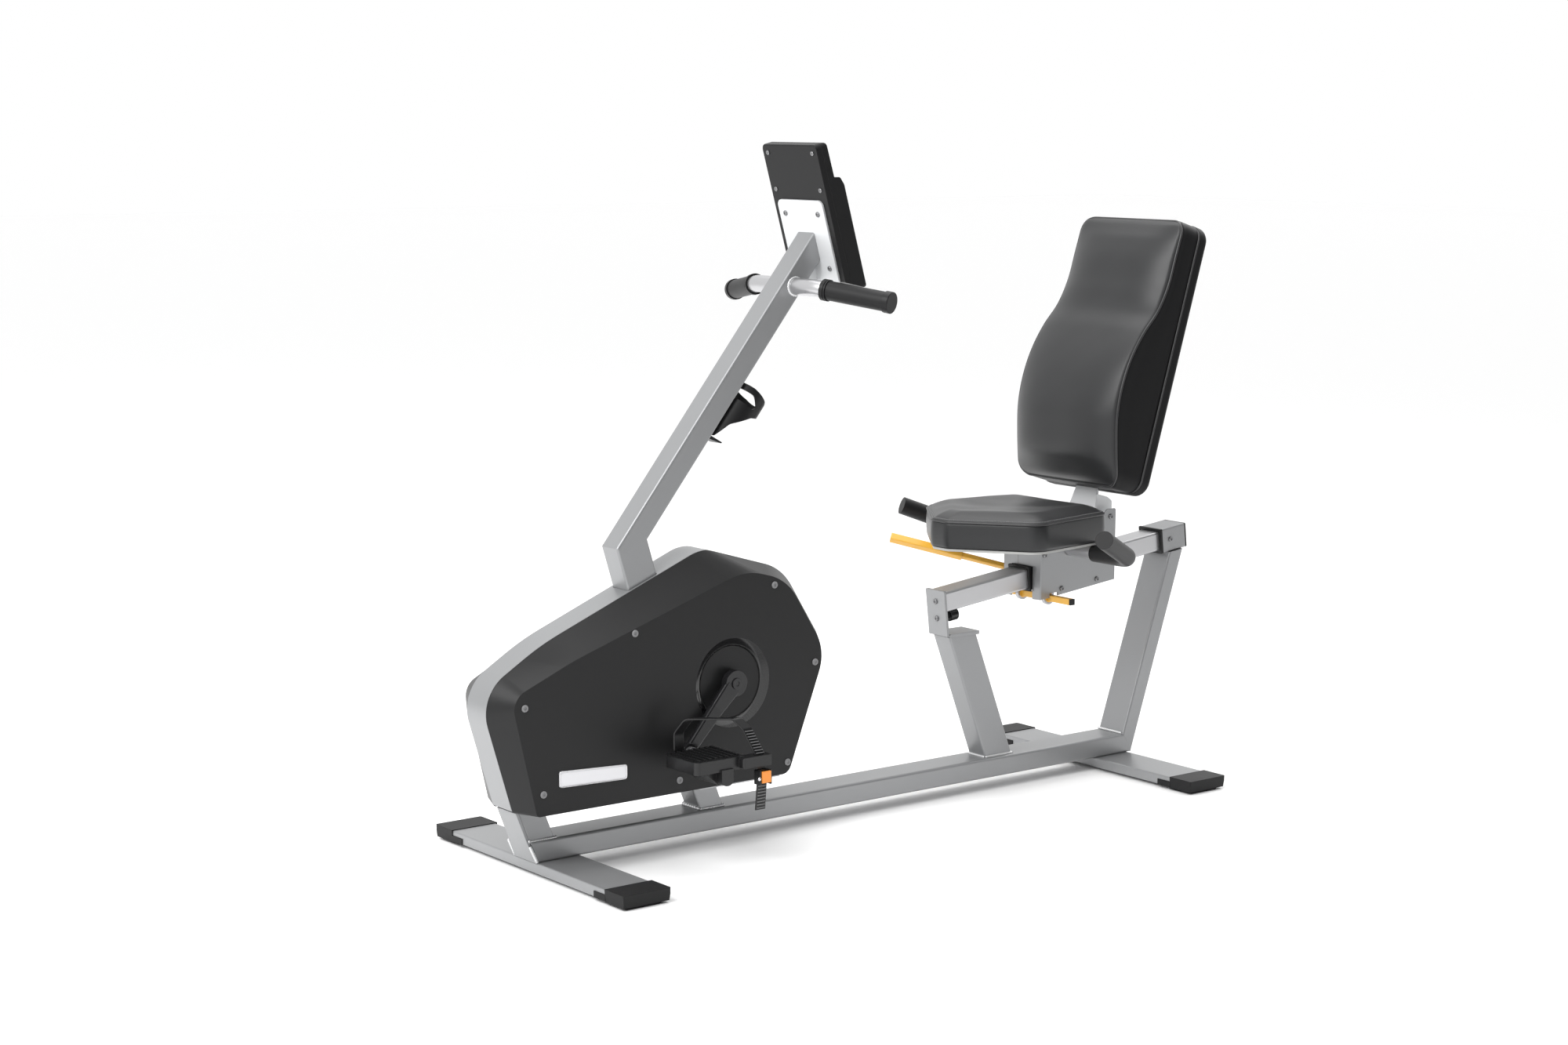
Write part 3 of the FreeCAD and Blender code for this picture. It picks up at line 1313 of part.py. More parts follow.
def make_release_lever():
    """Square bar across the slide with a long handle on the rider's right."""
    half = LEVER_BAR / 2
    bar = block(LEVER_X - half, LEVER_X + half, -106, 74, LEVER_Z - half, LEVER_Z + half)
    journals = []
    for side in (-1, 1):
        low = min(side * 33, side * 43)
        journals.append(rod_y(LEVER_X, LEVER_Z, 9.5, low, low + 10))
    knee = Vector(1202, 68, 428)
    tip = Vector(1034, 230, 483)
    riser = square_bar(Vector(LEVER_X, 68, LEVER_Z), knee, 11.0)
    handle = square_bar(knee, tip, 11.0)
    along = (tip - knee).normalize()
    sleeve = square_bar(knee + along * 90, tip, 15.5)
    ball = Part.makeSphere(7.0, knee)
    cam = block(LEVER_X, LEVER_X + 44, -8, 8, LEVER_Z - 5, LEVER_Z + 5)
    parts["release_lever"] = bar.fuse(journals + [riser, handle, sleeve, ball, cam]).removeSplitter()
    parts["lever_plug"] = block(
        LEVER_X - half, LEVER_X + half, -110, -106, LEVER_Z - half, LEVER_Z + half
    )
    shoe = tube(sleeve_point(LEVER_X + 32), sleeve_point(LEVER_X + 72), 9, 30, 0, 1.5)
    drop = (RAIL_HEIGHT / 2 + 0.4 + 4.5)
    shoe.translate(Vector(drop * sin_deg(RAIL_SLOPE), 0, -drop * cos_deg(RAIL_SLOPE)))
    parts["clamp_shoe"] = shoe


def square_bar(start, end, size):
    """Square bar from start to end with rounded corners."""
    along = end - start
    bar = Part.Face(section_wire(size, size, 2.0)).extrude(Vector(0, 0, along.Length))
    bar.Placement = FreeCAD.Placement(start, FreeCAD.Rotation(Vector(0, 0, 1), along))
    return bar


# --- fasteners on the frame ---

def make_frame_screws():
    heads = []
    rail_up = Vector(-sin_deg(RAIL_SLOPE), 0, cos_deg(RAIL_SLOPE))
    forwards = Vector(-cos_deg(RAIL_SLOPE), 0, -sin_deg(RAIL_SLOPE))
    plate = Vector(RAIL_START, 0, RAIL_START_HEIGHT)
    for drop in (0.0, 34.5):
        heads.append(screw(plate - rail_up * drop, forwards))
    sleeve_middle = (SLEEVE_START + SLEEVE_END) / 2 - 10
    place = Vector(sleeve_middle, -SLEEVE_WIDTH / 2, rail_height(sleeve_middle))
    heads += both_sides(screw(place, Vector(0, -1, 0)))
    outwards = console_vector(-1, 0, 0) - console_vector(0, 0, 0)
    for side in (-1, 1):
        for up in (27, 131):
            heads.append(screw(console_vector(0, side * 48, up), outwards, 5.0, 3.0))
        for up in (176, 246):
            heads.append(screw(console_vector(4, side * 66, up), outwards, 4.5, 1.8))
    return group(heads)


def main():
    make_base()
    make_beam()
    make_supports()
    make_front_leg()
    make_rear_leg()
    make_rail()
    make_post()
    make_console()
    make_handlebar()
    make_bottle_cage()
    make_casing()
    make_chassis()
    make_flywheel()
    make_crank()
    make_pedals()
    make_carriage()
    make_seat()
    make_seat_handles()
    make_backrest()
    make_release_lever()
    parts["frame_screws"] = make_frame_screws()

    whole = Part.makeCompound(list(parts.values())).BoundBox
    middle = Vector(-(whole.XMin + whole.XMax) / 2, -(whole.YMin + whole.YMax) / 2, -whole.ZMin)
    os.makedirs("parts", exist_ok=True)
    for name, shape in parts.items():
        shape.translate(middle)
        shape.exportStep("parts/" + name + ".step")
    print("nodes", len(parts))
    print("moved by", round(middle.x, 3), round(middle.y, 3), round(middle.z, 3))
    print("size", round(whole.XLength, 1), round(whole.YLength, 1), round(whole.ZLength, 1))


main()
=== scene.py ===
import math

import bmesh
import bpy
import numpy as np
from mathutils import Matrix, Vector


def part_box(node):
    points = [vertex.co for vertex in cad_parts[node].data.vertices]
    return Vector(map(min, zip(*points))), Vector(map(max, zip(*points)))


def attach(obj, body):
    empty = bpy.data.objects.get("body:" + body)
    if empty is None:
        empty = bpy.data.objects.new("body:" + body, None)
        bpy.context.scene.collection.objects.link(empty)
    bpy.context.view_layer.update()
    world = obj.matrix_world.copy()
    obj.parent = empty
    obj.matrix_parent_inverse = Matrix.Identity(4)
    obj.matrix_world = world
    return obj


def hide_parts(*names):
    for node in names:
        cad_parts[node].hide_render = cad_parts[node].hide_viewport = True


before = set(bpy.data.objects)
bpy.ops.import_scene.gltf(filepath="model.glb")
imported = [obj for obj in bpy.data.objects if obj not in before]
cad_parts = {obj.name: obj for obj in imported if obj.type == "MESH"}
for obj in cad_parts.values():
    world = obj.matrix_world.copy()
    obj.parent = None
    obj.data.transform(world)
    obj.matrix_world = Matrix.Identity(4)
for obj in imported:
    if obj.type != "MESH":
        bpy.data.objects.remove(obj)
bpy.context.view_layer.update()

MM = 0.001

# Places are in millimetres. A station is the distance behind the front crossbar's front edge,
# and MIDDLE is the station of the frame's origin, under the middle of the whole object's box.
MIDDLE = 762.869

# Crank: station and height of its axle, arm length, angle of the left arm below level.
CRANK_STATION = 400.0
CRANK_HEIGHT = 310.0
CRANK_LENGTH = 160.0
CRANK_ANGLE = 43.0

# Frame: tops of the crossbars and of the beam between them.
CROSSBAR_TOP = 26.0
BEAM_TOP = 66.0


def at(x, y, z):
    """Point in the row frame, in metres, from a station, a side distance and a height."""
    return Vector(((x - MIDDLE) * MM, y * MM, z * MM))


# --- materials ---

def group_socket(group, name, in_out, kind, default=None):
    socket = group.interface.new_socket(name=name, in_out=in_out, socket_type=kind)
    if default is not None:
        socket.default_value = default
    return socket


def grain_group():
    """Rounded edges, fine surface grain and a soft tone variation, shared by every material."""
    group = bpy.data.node_groups.new("surface_grain", "ShaderNodeTree")
    group_socket(group, "Color", "INPUT", "NodeSocketColor", (0.5, 0.5, 0.5, 1))
    group_socket(group, "Scale", "INPUT", "NodeSocketFloat", 600.0)
    group_socket(group, "Depth", "INPUT", "NodeSocketFloat", 0.1)
    group_socket(group, "Variation", "INPUT", "NodeSocketFloat", 0.05)
    group_socket(group, "Color", "OUTPUT", "NodeSocketColor")
    group_socket(group, "Rough", "OUTPUT", "NodeSocketFloat")
    group_socket(group, "Normal", "OUTPUT", "NodeSocketVector")
    nodes = group.nodes
    link = group.links.new
    inside = nodes.new("NodeGroupInput")
    outside = nodes.new("NodeGroupOutput")
    coord = nodes.new("ShaderNodeTexCoord")
    fine = nodes.new("ShaderNodeTexNoise")
    fine.inputs["Detail"].default_value = 3.0
    broad = nodes.new("ShaderNodeTexNoise")
    broad.inputs["Scale"].default_value = 9.0
    broad.inputs["Detail"].default_value = 4.0
    link(coord.outputs["Object"], fine.inputs["Vector"])
    link(coord.outputs["Object"], broad.inputs["Vector"])
    link(inside.outputs["Scale"], fine.inputs["Scale"])
    bevel = nodes.new("ShaderNodeBevel")
    bevel.samples = 4
    bevel.inputs["Radius"].default_value = 0.0012
    bump = nodes.new("ShaderNodeBump")
    bump.inputs["Distance"].default_value = 0.0003
    link(fine.outputs["Fac"], bump.inputs["Height"])
    link(inside.outputs["Depth"], bump.inputs["Strength"])
    link(bevel.outputs["Normal"], bump.inputs["Normal"])
    centred = nodes.new("ShaderNodeMath")
    centred.operation = "SUBTRACT"
    centred.inputs[1].default_value = 0.5
    link(broad.outputs["Fac"], centred.inputs[0])
    swing = nodes.new("ShaderNodeMath")
    swing.operation = "MULTIPLY"
    link(centred.outputs[0], swing.inputs[0])
    link(inside.outputs["Variation"], swing.inputs[1])
    factor = nodes.new("ShaderNodeMath")
    factor.operation = "ADD"
    factor.inputs[1].default_value = 1.0
    link(swing.outputs[0], factor.inputs[0])
    tone = nodes.new("ShaderNodeVectorMath")
    tone.operation = "SCALE"
    link(inside.outputs["Color"], tone.inputs[0])
    link(factor.outputs[0], tone.inputs["Scale"])
    link(tone.outputs[0], outside.inputs["Color"])
    link(swing.outputs[0], outside.inputs["Rough"])
    link(bump.outputs["Normal"], outside.inputs["Normal"])
    return group


GRAIN = grain_group()


def material(
    name, color, rough, metallic=0.0, scale=600.0, depth=0.1, variation=0.08,
    coat=0.0, specular=0.5, sheen=0.0,
):
    """Principled material with the shared grain: scale and depth are its fineness and relief."""
    made = bpy.data.materials.new(name)
    made.use_nodes = True
    nodes = made.node_tree.nodes
    link = made.node_tree.links.new
    shader = nodes["Principled BSDF"]
    grain = nodes.new("ShaderNodeGroup")
    grain.node_tree = GRAIN
    grain.inputs["Color"].default_value = (*color, 1.0)
    grain.inputs["Scale"].default_value = scale
    grain.inputs["Depth"].default_value = depth
    grain.inputs["Variation"].default_value = variation
    link(grain.outputs["Color"], shader.inputs["Base Color"])
    link(grain.outputs["Normal"], shader.inputs["Normal"])
    roughness = nodes.new("ShaderNodeMath")
    roughness.operation = "ADD"
    roughness.use_clamp = True
    roughness.inputs[1].default_value = rough
    link(grain.outputs["Rough"], roughness.inputs[0])
    link(roughness.outputs[0], shader.inputs["Roughness"])
    shader.inputs["Metallic"].default_value = metallic
    shader.inputs["Specular IOR Level"].default_value = specular
    shader.inputs["Coat Weight"].default_value = coat
    shader.inputs["Coat Roughness"].default_value = 0.25
    shader.inputs["Sheen Weight"].default_value = sheen
    shader.inputs["Sheen Roughness"].default_value = 0.5
    return made


PAINT = material(
    "frame_paint", (0.30, 0.304, 0.31), 0.36, 0.55,
    scale=2600, depth=0.12, variation=0.05,
)
# Lighter than the frame paint; on the console plate part of this lightness is painted light, for the lamps
# falling on its top.
PLATE = material("plate_paint", (0.66, 0.67, 0.68), 0.40, 0.25, scale=2600, depth=0.10, variation=0.04)
RAIL = material("rail_metal", (0.50, 0.50, 0.51), 0.30, 0.85, scale=2200, depth=0.08, variation=0.10)
PLASTIC = material(
    "black_plastic", (0.008, 0.008, 0.0085), 0.42,
    scale=1800, depth=0.20, variation=0.10, specular=0.26,
)
CASING = material(
    "casing_plastic", (0.013, 0.013, 0.0135), 0.40,
    scale=2400, depth=0.10, variation=0.05, specular=0.25,
)
GREY = material("grey_plastic", (0.24, 0.245, 0.25), 0.45, scale=1500, depth=0.08)
ORANGE = material("orange_plastic", (0.90, 0.30, 0.045), 0.38, scale=1500, depth=0.06)
YELLOW = material("yellow_paint", (0.80, 0.42, 0.035), 0.30, scale=900, depth=0.05, coat=0.3)
RUBBER = material("rubber", (0.007, 0.007, 0.0075), 0.50, scale=1400, depth=0.25, specular=0.24)
GRIP = material("grip_rubber", (0.009, 0.009, 0.0095), 0.48, scale=1500, depth=0.35, specular=0.26)
VINYL = material(
    "vinyl", (0.017, 0.0175, 0.0185), 0.38,
    scale=750, depth=0.40, variation=0.10, specular=0.42, sheen=0.06,
)
VINYL_DARK = material(
    "vinyl_side", (0.004, 0.004, 0.0045), 0.50,
    scale=750, depth=0.40, variation=0.10, specular=0.16,
)
PIPING = material("piping", (0.020, 0.020, 0.021), 0.35, scale=900, depth=0.2, specular=0.6)
THREAD = material("thread", (0.30, 0.30, 0.305), 0.6, scale=3000, depth=0.3)
BOARD = material("seat_board", (0.42, 0.42, 0.41), 0.7, scale=400, depth=0.2, variation=0.15)
STEEL = material("brushed_steel", (0.42, 0.42, 0.43), 0.36, 0.9, scale=1200, depth=0.1)
CHROME = material("chrome", (0.70, 0.70, 0.71), 0.16, 1.0, scale=600, depth=0.02)
IRON = material("cast_iron", (0.10, 0.10, 0.105), 0.6, 0.6, scale=500, depth=0.4)
BLACK_PAINT = material("black_paint", (0.012, 0.012, 0.013), 0.22, scale=1500, depth=0.05, specular=0.42)
PEDAL_PLASTIC = material(
    "pedal_plastic", (0.010, 0.010, 0.0105), 0.30,
    scale=1500, depth=0.12, specular=0.42,
)
GLOSS = material("gloss_black", (0.008, 0.008, 0.0085), 0.16, scale=1500, depth=0.02, specular=0.8)
# Light grey for the strap ribs, which are black like the strap: a painted highlight.
RIB_PAINTED_HIGHLIGHT = material("strap_rib", (0.13, 0.13, 0.132), 0.30, scale=1500, depth=0.05, specular=0.6)
BADGE = material("badge", (0.62, 0.62, 0.64), 0.28, 0.8, scale=1800, depth=0.05)
BADGE_INSET = material("badge_inset", (0.74, 0.74, 0.76), 0.34, 0.5, scale=1800, depth=0.05)
SCREEN = material("screen_glass", (0.012, 0.014, 0.016), 0.08, scale=300, depth=0.0, specular=0.6)
SCREW_GREY = material("screw_cap", (0.20, 0.20, 0.205), 0.40, scale=1500, depth=0.05)
SCREW = material("screw_steel", (0.24, 0.24, 0.245), 0.30, 0.85, scale=1200, depth=0.05)
WELD = material("weld", (0.74, 0.745, 0.75), 0.28, 0.75, scale=900, depth=0.5, variation=0.15)

NODE_LOOKS = {
    "front_crossbar": PAINT, "rear_crossbar": PAINT, "crossbar_caps": RUBBER, "main_beam": PAINT,
    "casing_supports": PAINT, "seat_front_leg": PAINT, "seat_rear_leg": PAINT, "seat_rail": RAIL,
    "rail_end_plate": PAINT, "rail_stop": BLACK_PAINT, "sleeve_liner": PLASTIC, "console_post": PAINT,
    "console_plate": PLATE, "console_back_shell": PLASTIC, "console_front_shell": PLASTIC,
    "console_display": SCREEN, "console_keypad": GREY, "handlebar": RAIL, "handlebar_grips": GRIP,
    "handlebar_rings": PLASTIC, "bottle_cage": PLASTIC, "left_casing": CASING, "right_casing": CASING,
    "casing_band": PAINT, "casing_screws": SCREW_GREY, "side_badges": BADGE, "drive_chassis": STEEL,
    "bottom_bracket": STEEL, "crank_bearings": STEEL, "flywheel_axle": STEEL, "brake_magnets": STEEL,
    "drive_belt": RUBBER, "frame_screws": SCREW, "crank_axle": STEEL, "drive_pulley": GREY,
    "crank_discs": CASING, "crank_arms": BLACK_PAINT, "crank_bolts": BLACK_PAINT, "pedal_axles": STEEL,
    "left_pedal": PEDAL_PLASTIC, "right_pedal": PEDAL_PLASTIC,
    "left_strap": PEDAL_PLASTIC, "right_strap": PEDAL_PLASTIC,
    "left_buckle_lever": ORANGE, "right_buckle_lever": ORANGE, "flywheel": IRON, "carriage_frame": STEEL,
    "carriage_liners": PLASTIC, "carriage_covers": PAINT, "carriage_screws": SCREW, "seat_board": BOARD,
    "seat_cushion": VINYL, "seat_handles": RAIL, "seat_grips": GRIP, "backrest_bracket": PLATE,
    "backrest_shell": VINYL_DARK, "backrest_cushion": VINYL, "release_lever": YELLOW, "lever_plug": PLASTIC,
    "clamp_shoe": STEEL,
}

for node_name, look in NODE_LOOKS.items():
    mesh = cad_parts[node_name].data
    mesh.materials.clear()
    mesh.materials.append(look)


# --- mesh tools ---

def new_object(name, body, looks):
    """Empty mesh object at the origin that rides on a body."""
    mesh = bpy.data.meshes.new(name)
    obj = bpy.data.objects.new(name, mesh)
    bpy.context.scene.collection.objects.link(obj)
    for look in looks:
        mesh.materials.append(look)
    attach(obj, body)
    return obj


def fill_mesh(obj, vertices, faces, smooth=True, looks=None):
    """Build an object's mesh from points and faces, with its faces pointing outwards."""
    mesh = obj.data
    mesh.from_pydata([tuple(v) for v in vertices], [], faces)
    mesh.validate()
    for i, polygon in enumerate(mesh.polygons):
        polygon.use_smooth = smooth
        if looks is not None:
            polygon.material_index = looks[i]
    shape = bmesh.new()
    shape.from_mesh(mesh)
    bmesh.ops.recalc_face_normals(shape, faces=shape.faces)
    shape.to_mesh(mesh)
    shape.free()
    return obj


def tube_faces(rings, sides, closed):
    """Faces of a tube made of equal rings of vertices."""
    faces = []
    spans = rings if closed else rings - 1
    for i in range(spans):
        j = (i + 1) % rings
        for k in range(sides):
            n = (k + 1) % sides
            faces.append((i * sides + k, i * sides + n, j * sides + n, j * sides + k))
    if not closed:
        faces.append(tuple(range(sides))[::-1])
        faces.append(tuple((rings - 1) * sides + k for k in range(sides)))
    return faces


def tube_along(path, radius, sides=8, closed=False):
    """Vertices and faces of a round tube along a path of points."""
    count = len(path)
    vertices = []
    side = None
    for i, point in enumerate(path):
        after = path[(i + 1) % count] if closed or i < count - 1 else point
        before = path[i - 1] if closed or i > 0 else point
        along = (after - before).normalized()
        if side is None:
            side = along.orthogonal().normalized()
        side = (side - along * side.dot(along)).normalized()
        up = along.cross(side)
        width = radius(i) if callable(radius) else radius
        for k in range(sides):
            angle = 2 * math.pi * k / sides
            vertices.append(point + side * (width * math.cos(angle)) + up * (width * math.sin(angle)))
    return vertices, tube_faces(count, sides, closed)


def join_parts(shapes):
    """One list of vertices and faces from several."""
    vertices = []
    faces = []
    for v, f in shapes:
        start = len(vertices)
        vertices += list(v)
        faces += [tuple(i + start for i in face) for face in f]
    return vertices, faces


def add_box(shape, centre, u, v, w):
    """Add a box to a bmesh, from its centre and three half-edge vectors."""
    axes = Matrix((u, v, w)).transposed().to_4x4()
    bmesh.ops.create_cube(shape, size=2.0, matrix=Matrix.Translation(centre) @ axes)


def add_thickness(shape, face, move):
    """Extrude a face by a move, keeping the face itself as the other end."""
    grown = bmesh.ops.extrude_face_region(shape, geom=[face], use_keep_orig=True)
    moved = [item for item in grown["geom"] if isinstance(item, bmesh.types.BMVert)]
    bmesh.ops.translate(shape, vec=move, verts=moved)


def keep_shape(obj, shape, smooth=True):
    """Write a bmesh into an object's mesh, with its faces pointing outwards."""
    for face in shape.faces:
        face.smooth = smooth
    bmesh.ops.recalc_face_normals(shape, faces=shape.faces)
    shape.to_mesh(obj.data)
    shape.free()
    return obj


def corner_arc(corner, before, after, radius):
    """Points round one rounded corner; before and after are unit vectors along its two sides."""
    half = before.angle(after) / 2
    reach = radius / math.tan(half)
    centre = corner + (before + after).normalized() * (radius / math.sin(half))
    start = corner + before * reach - centre
    end = corner + after * reach - centre
    turn = start.angle_signed(end)
    points = []
    for k in range(13):
        angle = -turn * k / 12
        spun = Vector((
            start.x * math.cos(angle) - start.y * math.sin(angle),
            start.x * math.sin(angle) + start.y * math.cos(angle),
        ))
        points.append(centre + spun)
    return points


def rounded_outline(corners, radii, spacing):
    """Evenly spaced points round a closed outline with rounded corners."""
    path = []
    count = len(corners)
    for i in range(count):
        corner = Vector(corners[i])
        before = (Vector(corners[i - 1]) - corner).normalized()
        after = (Vector(corners[(i + 1) % count]) - corner).normalized()
        path += corner_arc(corner, before, after, radii[i])
    path.append(path[0].copy())
    return spaced_evenly(path, spacing)


def spaced_evenly(path, spacing):
    """Evenly spaced points along a closed path, whose last point repeats the first."""
    lengths = [0.0]
    for a, b in zip(path, path[1:]):
        lengths.append(lengths[-1] + (b - a).length)
    total = lengths[-1]
    steps = max(int(total / spacing), 8)
    places = [total * i / steps for i in range(steps)]
    xs = np.interp(places, lengths, [p.x for p in path])
    ys = np.interp(places, lengths, [p.y for p in path])
    return [Vector((x, y)) for x, y in zip(xs, ys)]


def outward_normals(outline):
    """Unit normals of an anticlockwise outline, pointing outwards."""
    normals = []
    count = len(outline)
    for i in range(count):
        along = outline[(i + 1) % count] - outline[i - 1]
        normals.append(Vector((along.y, -along.x)).normalized())
    return normals


# --- seat cushion ---

SEAT_NOSE = 962.0
SEAT_LENGTH = 333.0
SEAT_RISE = 2.5
SEAT_CENTRE = Vector((1140.0, 0.0))
SEAT_CORNERS = [(962, -22), (1076, -170), (1295, -133), (1295, 133), (1076, 170), (962, 22)]
SEAT_RADII = [24, 45, 28, 28, 45, 24]
SEAT_LOW = 497.6

# Rings of the cushion from its underside up: distance in from the outline, and height.
SEAT_RINGS = [
    (12, SEAT_LOW), (4, SEAT_LOW + 0.6), (1.2, SEAT_LOW + 3), (0.4, 506), (-0.4, 515), (-0.8, 526),
    (-0.4, 537), (0.4, 545), (1.2, 548.2), (2.4, 549.4), (2.2, 550.8), (1.6, 552.4), (2.4, 554.0),
    (4.6, 555.0), (6.2, 554.4), (7.6, 555.2), (10, 557.2), (16, 560.2), (24, 563.2), (33, 566.0),
    (41, 567.9), (47, 568.6),
]
# The shallow dish inside the last ring: share of that ring's size, and height.
SEAT_DISH = [
    (0.92, 568.2), (0.80, 567.0), (0.66, 565.9), (0.5, 565.0), (0.34, 564.5), (0.18, 564.2), (0.06, 564.1),
]

# Rings up to this distance run beside the outline, and those past it towards the seat's middle.
SEAT_SHOULDER = 8.0
# Rings above this height follow the rise of the seat towards its rear.
SEAT_LEVEL_SIDE = 540.0
# All rings lie this much lower than their listed heights.
SEAT_SETTLED = 1.2

SEAT_PIPING_HEIGHT = 549.4
SEAT_STITCH_INSET = 6.2
SEAT_STITCH_HEIGHT = 554.3
STITCH_SHARE = 0.62


def wrinkle(x, y):
    """Small soft waves in the vinyl, in millimetres."""
    return 0.5 * math.sin(x / 31 + y / 57) + 0.4 * math.sin(y / 23 - x / 71) + 0.3 * math.sin((x + y) / 17)


def seat_rise(station):
    """How much higher the top of the seat is at a station than at its nose."""
    return (station - SEAT_NOSE) / SEAT_LENGTH * SEAT_RISE


def seat_point(point, normal, inset):
    """Place on a ring of the cushion, from the outline's point and the distance in."""
    moved = point - normal * min(inset, SEAT_SHOULDER)
    return moved + (SEAT_CENTRE - moved).normalized() * max(inset - SEAT_SHOULDER, 0)


def make_seat_pad(outline, normals):
    count = len(outline)
    vertices = []
    for inset, height in SEAT_RINGS:
        for point, normal in zip(outline, normals):
            moved = seat_point(point, normal, inset)
            lift = wrinkle(moved.x, moved.y) * min(max((inset - SEAT_SHOULDER) / 20, 0), 1)
            rise = seat_rise(moved.x) if height > SEAT_LEVEL_SIDE else 0
            vertices.append(at(moved.x, moved.y, height + lift + rise - SEAT_SETTLED))
    last = [seat_point(point, normal, SEAT_RINGS[-1][0]) for point, normal in zip(outline, normals)]
    for scale, height in SEAT_DISH:
        for point in last:
            moved = SEAT_CENTRE + (point - SEAT_CENTRE) * scale
            lift = wrinkle(moved.x, moved.y)
            vertices.append(at(moved.x, moved.y, height + lift + seat_rise(moved.x) - SEAT_SETTLED))
    faces = tube_faces(len(SEAT_RINGS) + len(SEAT_DISH), count, False)
    underside = len(faces) - 2
    looks = []
    for i in range(len(faces)):
        looks.append(1 if i < 2 * count or i == underside else 0)
    cushion = new_object("seat_pad", "seat", [VINYL, VINYL_DARK])
    fill_mesh(cushion, vertices, faces, True, looks)
    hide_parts("seat_cushion")


def make_seat_piping(outline, normals):
    path = []
    for point, normal in zip(outline, normals):
        edge = point - normal * 0.8
        path.append(at(edge.x, edge.y, SEAT_PIPING_HEIGHT + seat_rise(point.x)))
    piping = new_object("seat_piping", "seat", [PIPING])
    vertices, faces = tube_along(path, 0.0021, 8, True)
    fill_mesh(piping, vertices, faces)


def make_seat_stitching(outline, normals):
    row = [point - normal * SEAT_STITCH_INSET for point, normal in zip(outline, normals)]
    stitches = []
    for i in range(len(row)):
        a = row[i]
        b = a + (row[(i + 1) % len(row)] - a) * STITCH_SHARE
        height = SEAT_STITCH_HEIGHT + seat_rise(a.x)
        start = at(a.x, a.y, height)
        end = at(b.x, b.y, height)
        middle = (start + end) / 2 + Vector((0, 0, 0.0003))
        stitches.append(tube_along([start, middle, end], 0.0005, 5))
    thread = new_object("seat_stitching", "seat", [THREAD])
    vertices, faces = join_parts(stitches)
    fill_mesh(thread, vertices, faces)


def make_seat():
    outline = rounded_outline(SEAT_CORNERS, SEAT_RADII, 4.0)
    normals = outward_normals(outline)
    make_seat_pad(outline, normals)
    make_seat_piping(outline, normals)
    make_seat_stitching(outline, normals)


# --- backrest ---

# Distance of the backrest's front from its back, by height up the backrest.
BACK_CONTOUR = [
    (0, 90), (12, 97), (36, 107), (85, 125), (140, 141), (190, 146), (255, 140), (315, 121), (360, 99),
    (415, 86), (480, 84), (558, 82),
]
# How far the middle of the front stands out from the seam, by height.
BACK_CROWN = [
    (0, 14), (37, 32), (112, 32), (197, 20), (303, 12), (356, 16), (409, 26), (462, 27), (515, 18), (558, 8),
]
BACK_HALF = 145.0
BACK_TALL = 558.0
BACK_LOW = 2.0
BACK_HIGH = BACK_TALL - 1.0
BACK_EDGE = 15.0
BACK_FRONT_CORNER = 31.0
BACK_SIDE_CORNER = 8.0
CUSHION_START = 28.0
BACK_FRAME = Matrix.Translation(at(1392, 0, 574.5)) @ Matrix.Rotation(math.radians(17), 4, "Y")


def smooth_curve(points, places):
    """Cubic Hermite values through (place, value) pairs."""
    xs = [p[0] for p in points]
    ys = [p[1] for p in points]
    slopes = np.gradient(ys, xs)
    values = []
    for place in places:
        i = min(max(np.searchsorted(xs, place) - 1, 0), len(xs) - 2)
        span = xs[i + 1] - xs[i]
        t = (place - xs[i]) / span
        values.append(
            (2 * t ** 3 - 3 * t ** 2 + 1) * ys[i] + (t ** 3 - 2 * t ** 2 + t) * span * slopes[i]
            + (-2 * t ** 3 + 3 * t ** 2) * ys[i + 1] + (t ** 3 - t ** 2) * span * slopes[i + 1]
        )
    return values


def on_back(forward, y, up):
    """Point from the backrest's own axes, in millimetres."""
    return BACK_FRAME @ Vector((-forward * MM, y * MM, up * MM))


def round_off(distance, radius):
    """How far a rounded corner falls back at a distance from its end."""
    if distance >= radius:
        return 0.0
    return radius - math.sqrt(max(radius ** 2 - (radius - distance) ** 2, 0.0))


def crown(forward, y, half, bulge):
    """How far the padding pushes a point of a level section forward."""
    if forward <= 40 or abs(y) >= half - 2:
        return 0.0
    return bulge * (1 - (abs(y) / half) ** 3.5) * min((forward - CUSHION_START) / 60, 1)


def back_section(half, front, bulge):
    """Level section of the cushion: (forward, side) pairs, from its left rear edge to its right one."""
    corner = BACK_SIDE_CORNER
    depth = front - corner - CUSHION_START
    row = []
    for k in range(9):
        row.append((CUSHION_START + depth * k / 9, -half + 0.6 - 0.6 * math.sin(math.pi * k / 9)))
    for k in range(9):
        angle = math.pi / 2 * k / 8
        row.append((front - corner + corner * math.sin(angle), -half + corner - corner * math.cos(angle)))
    for k in range(1, 14):
        row.append((front, -half + corner + (half - corner) * k / 13))
    left = [(forward + crown(forward, y, half, bulge), y) for forward, y in row]
    return left + [(forward, -y) for forward, y in reversed(left[:-1])]


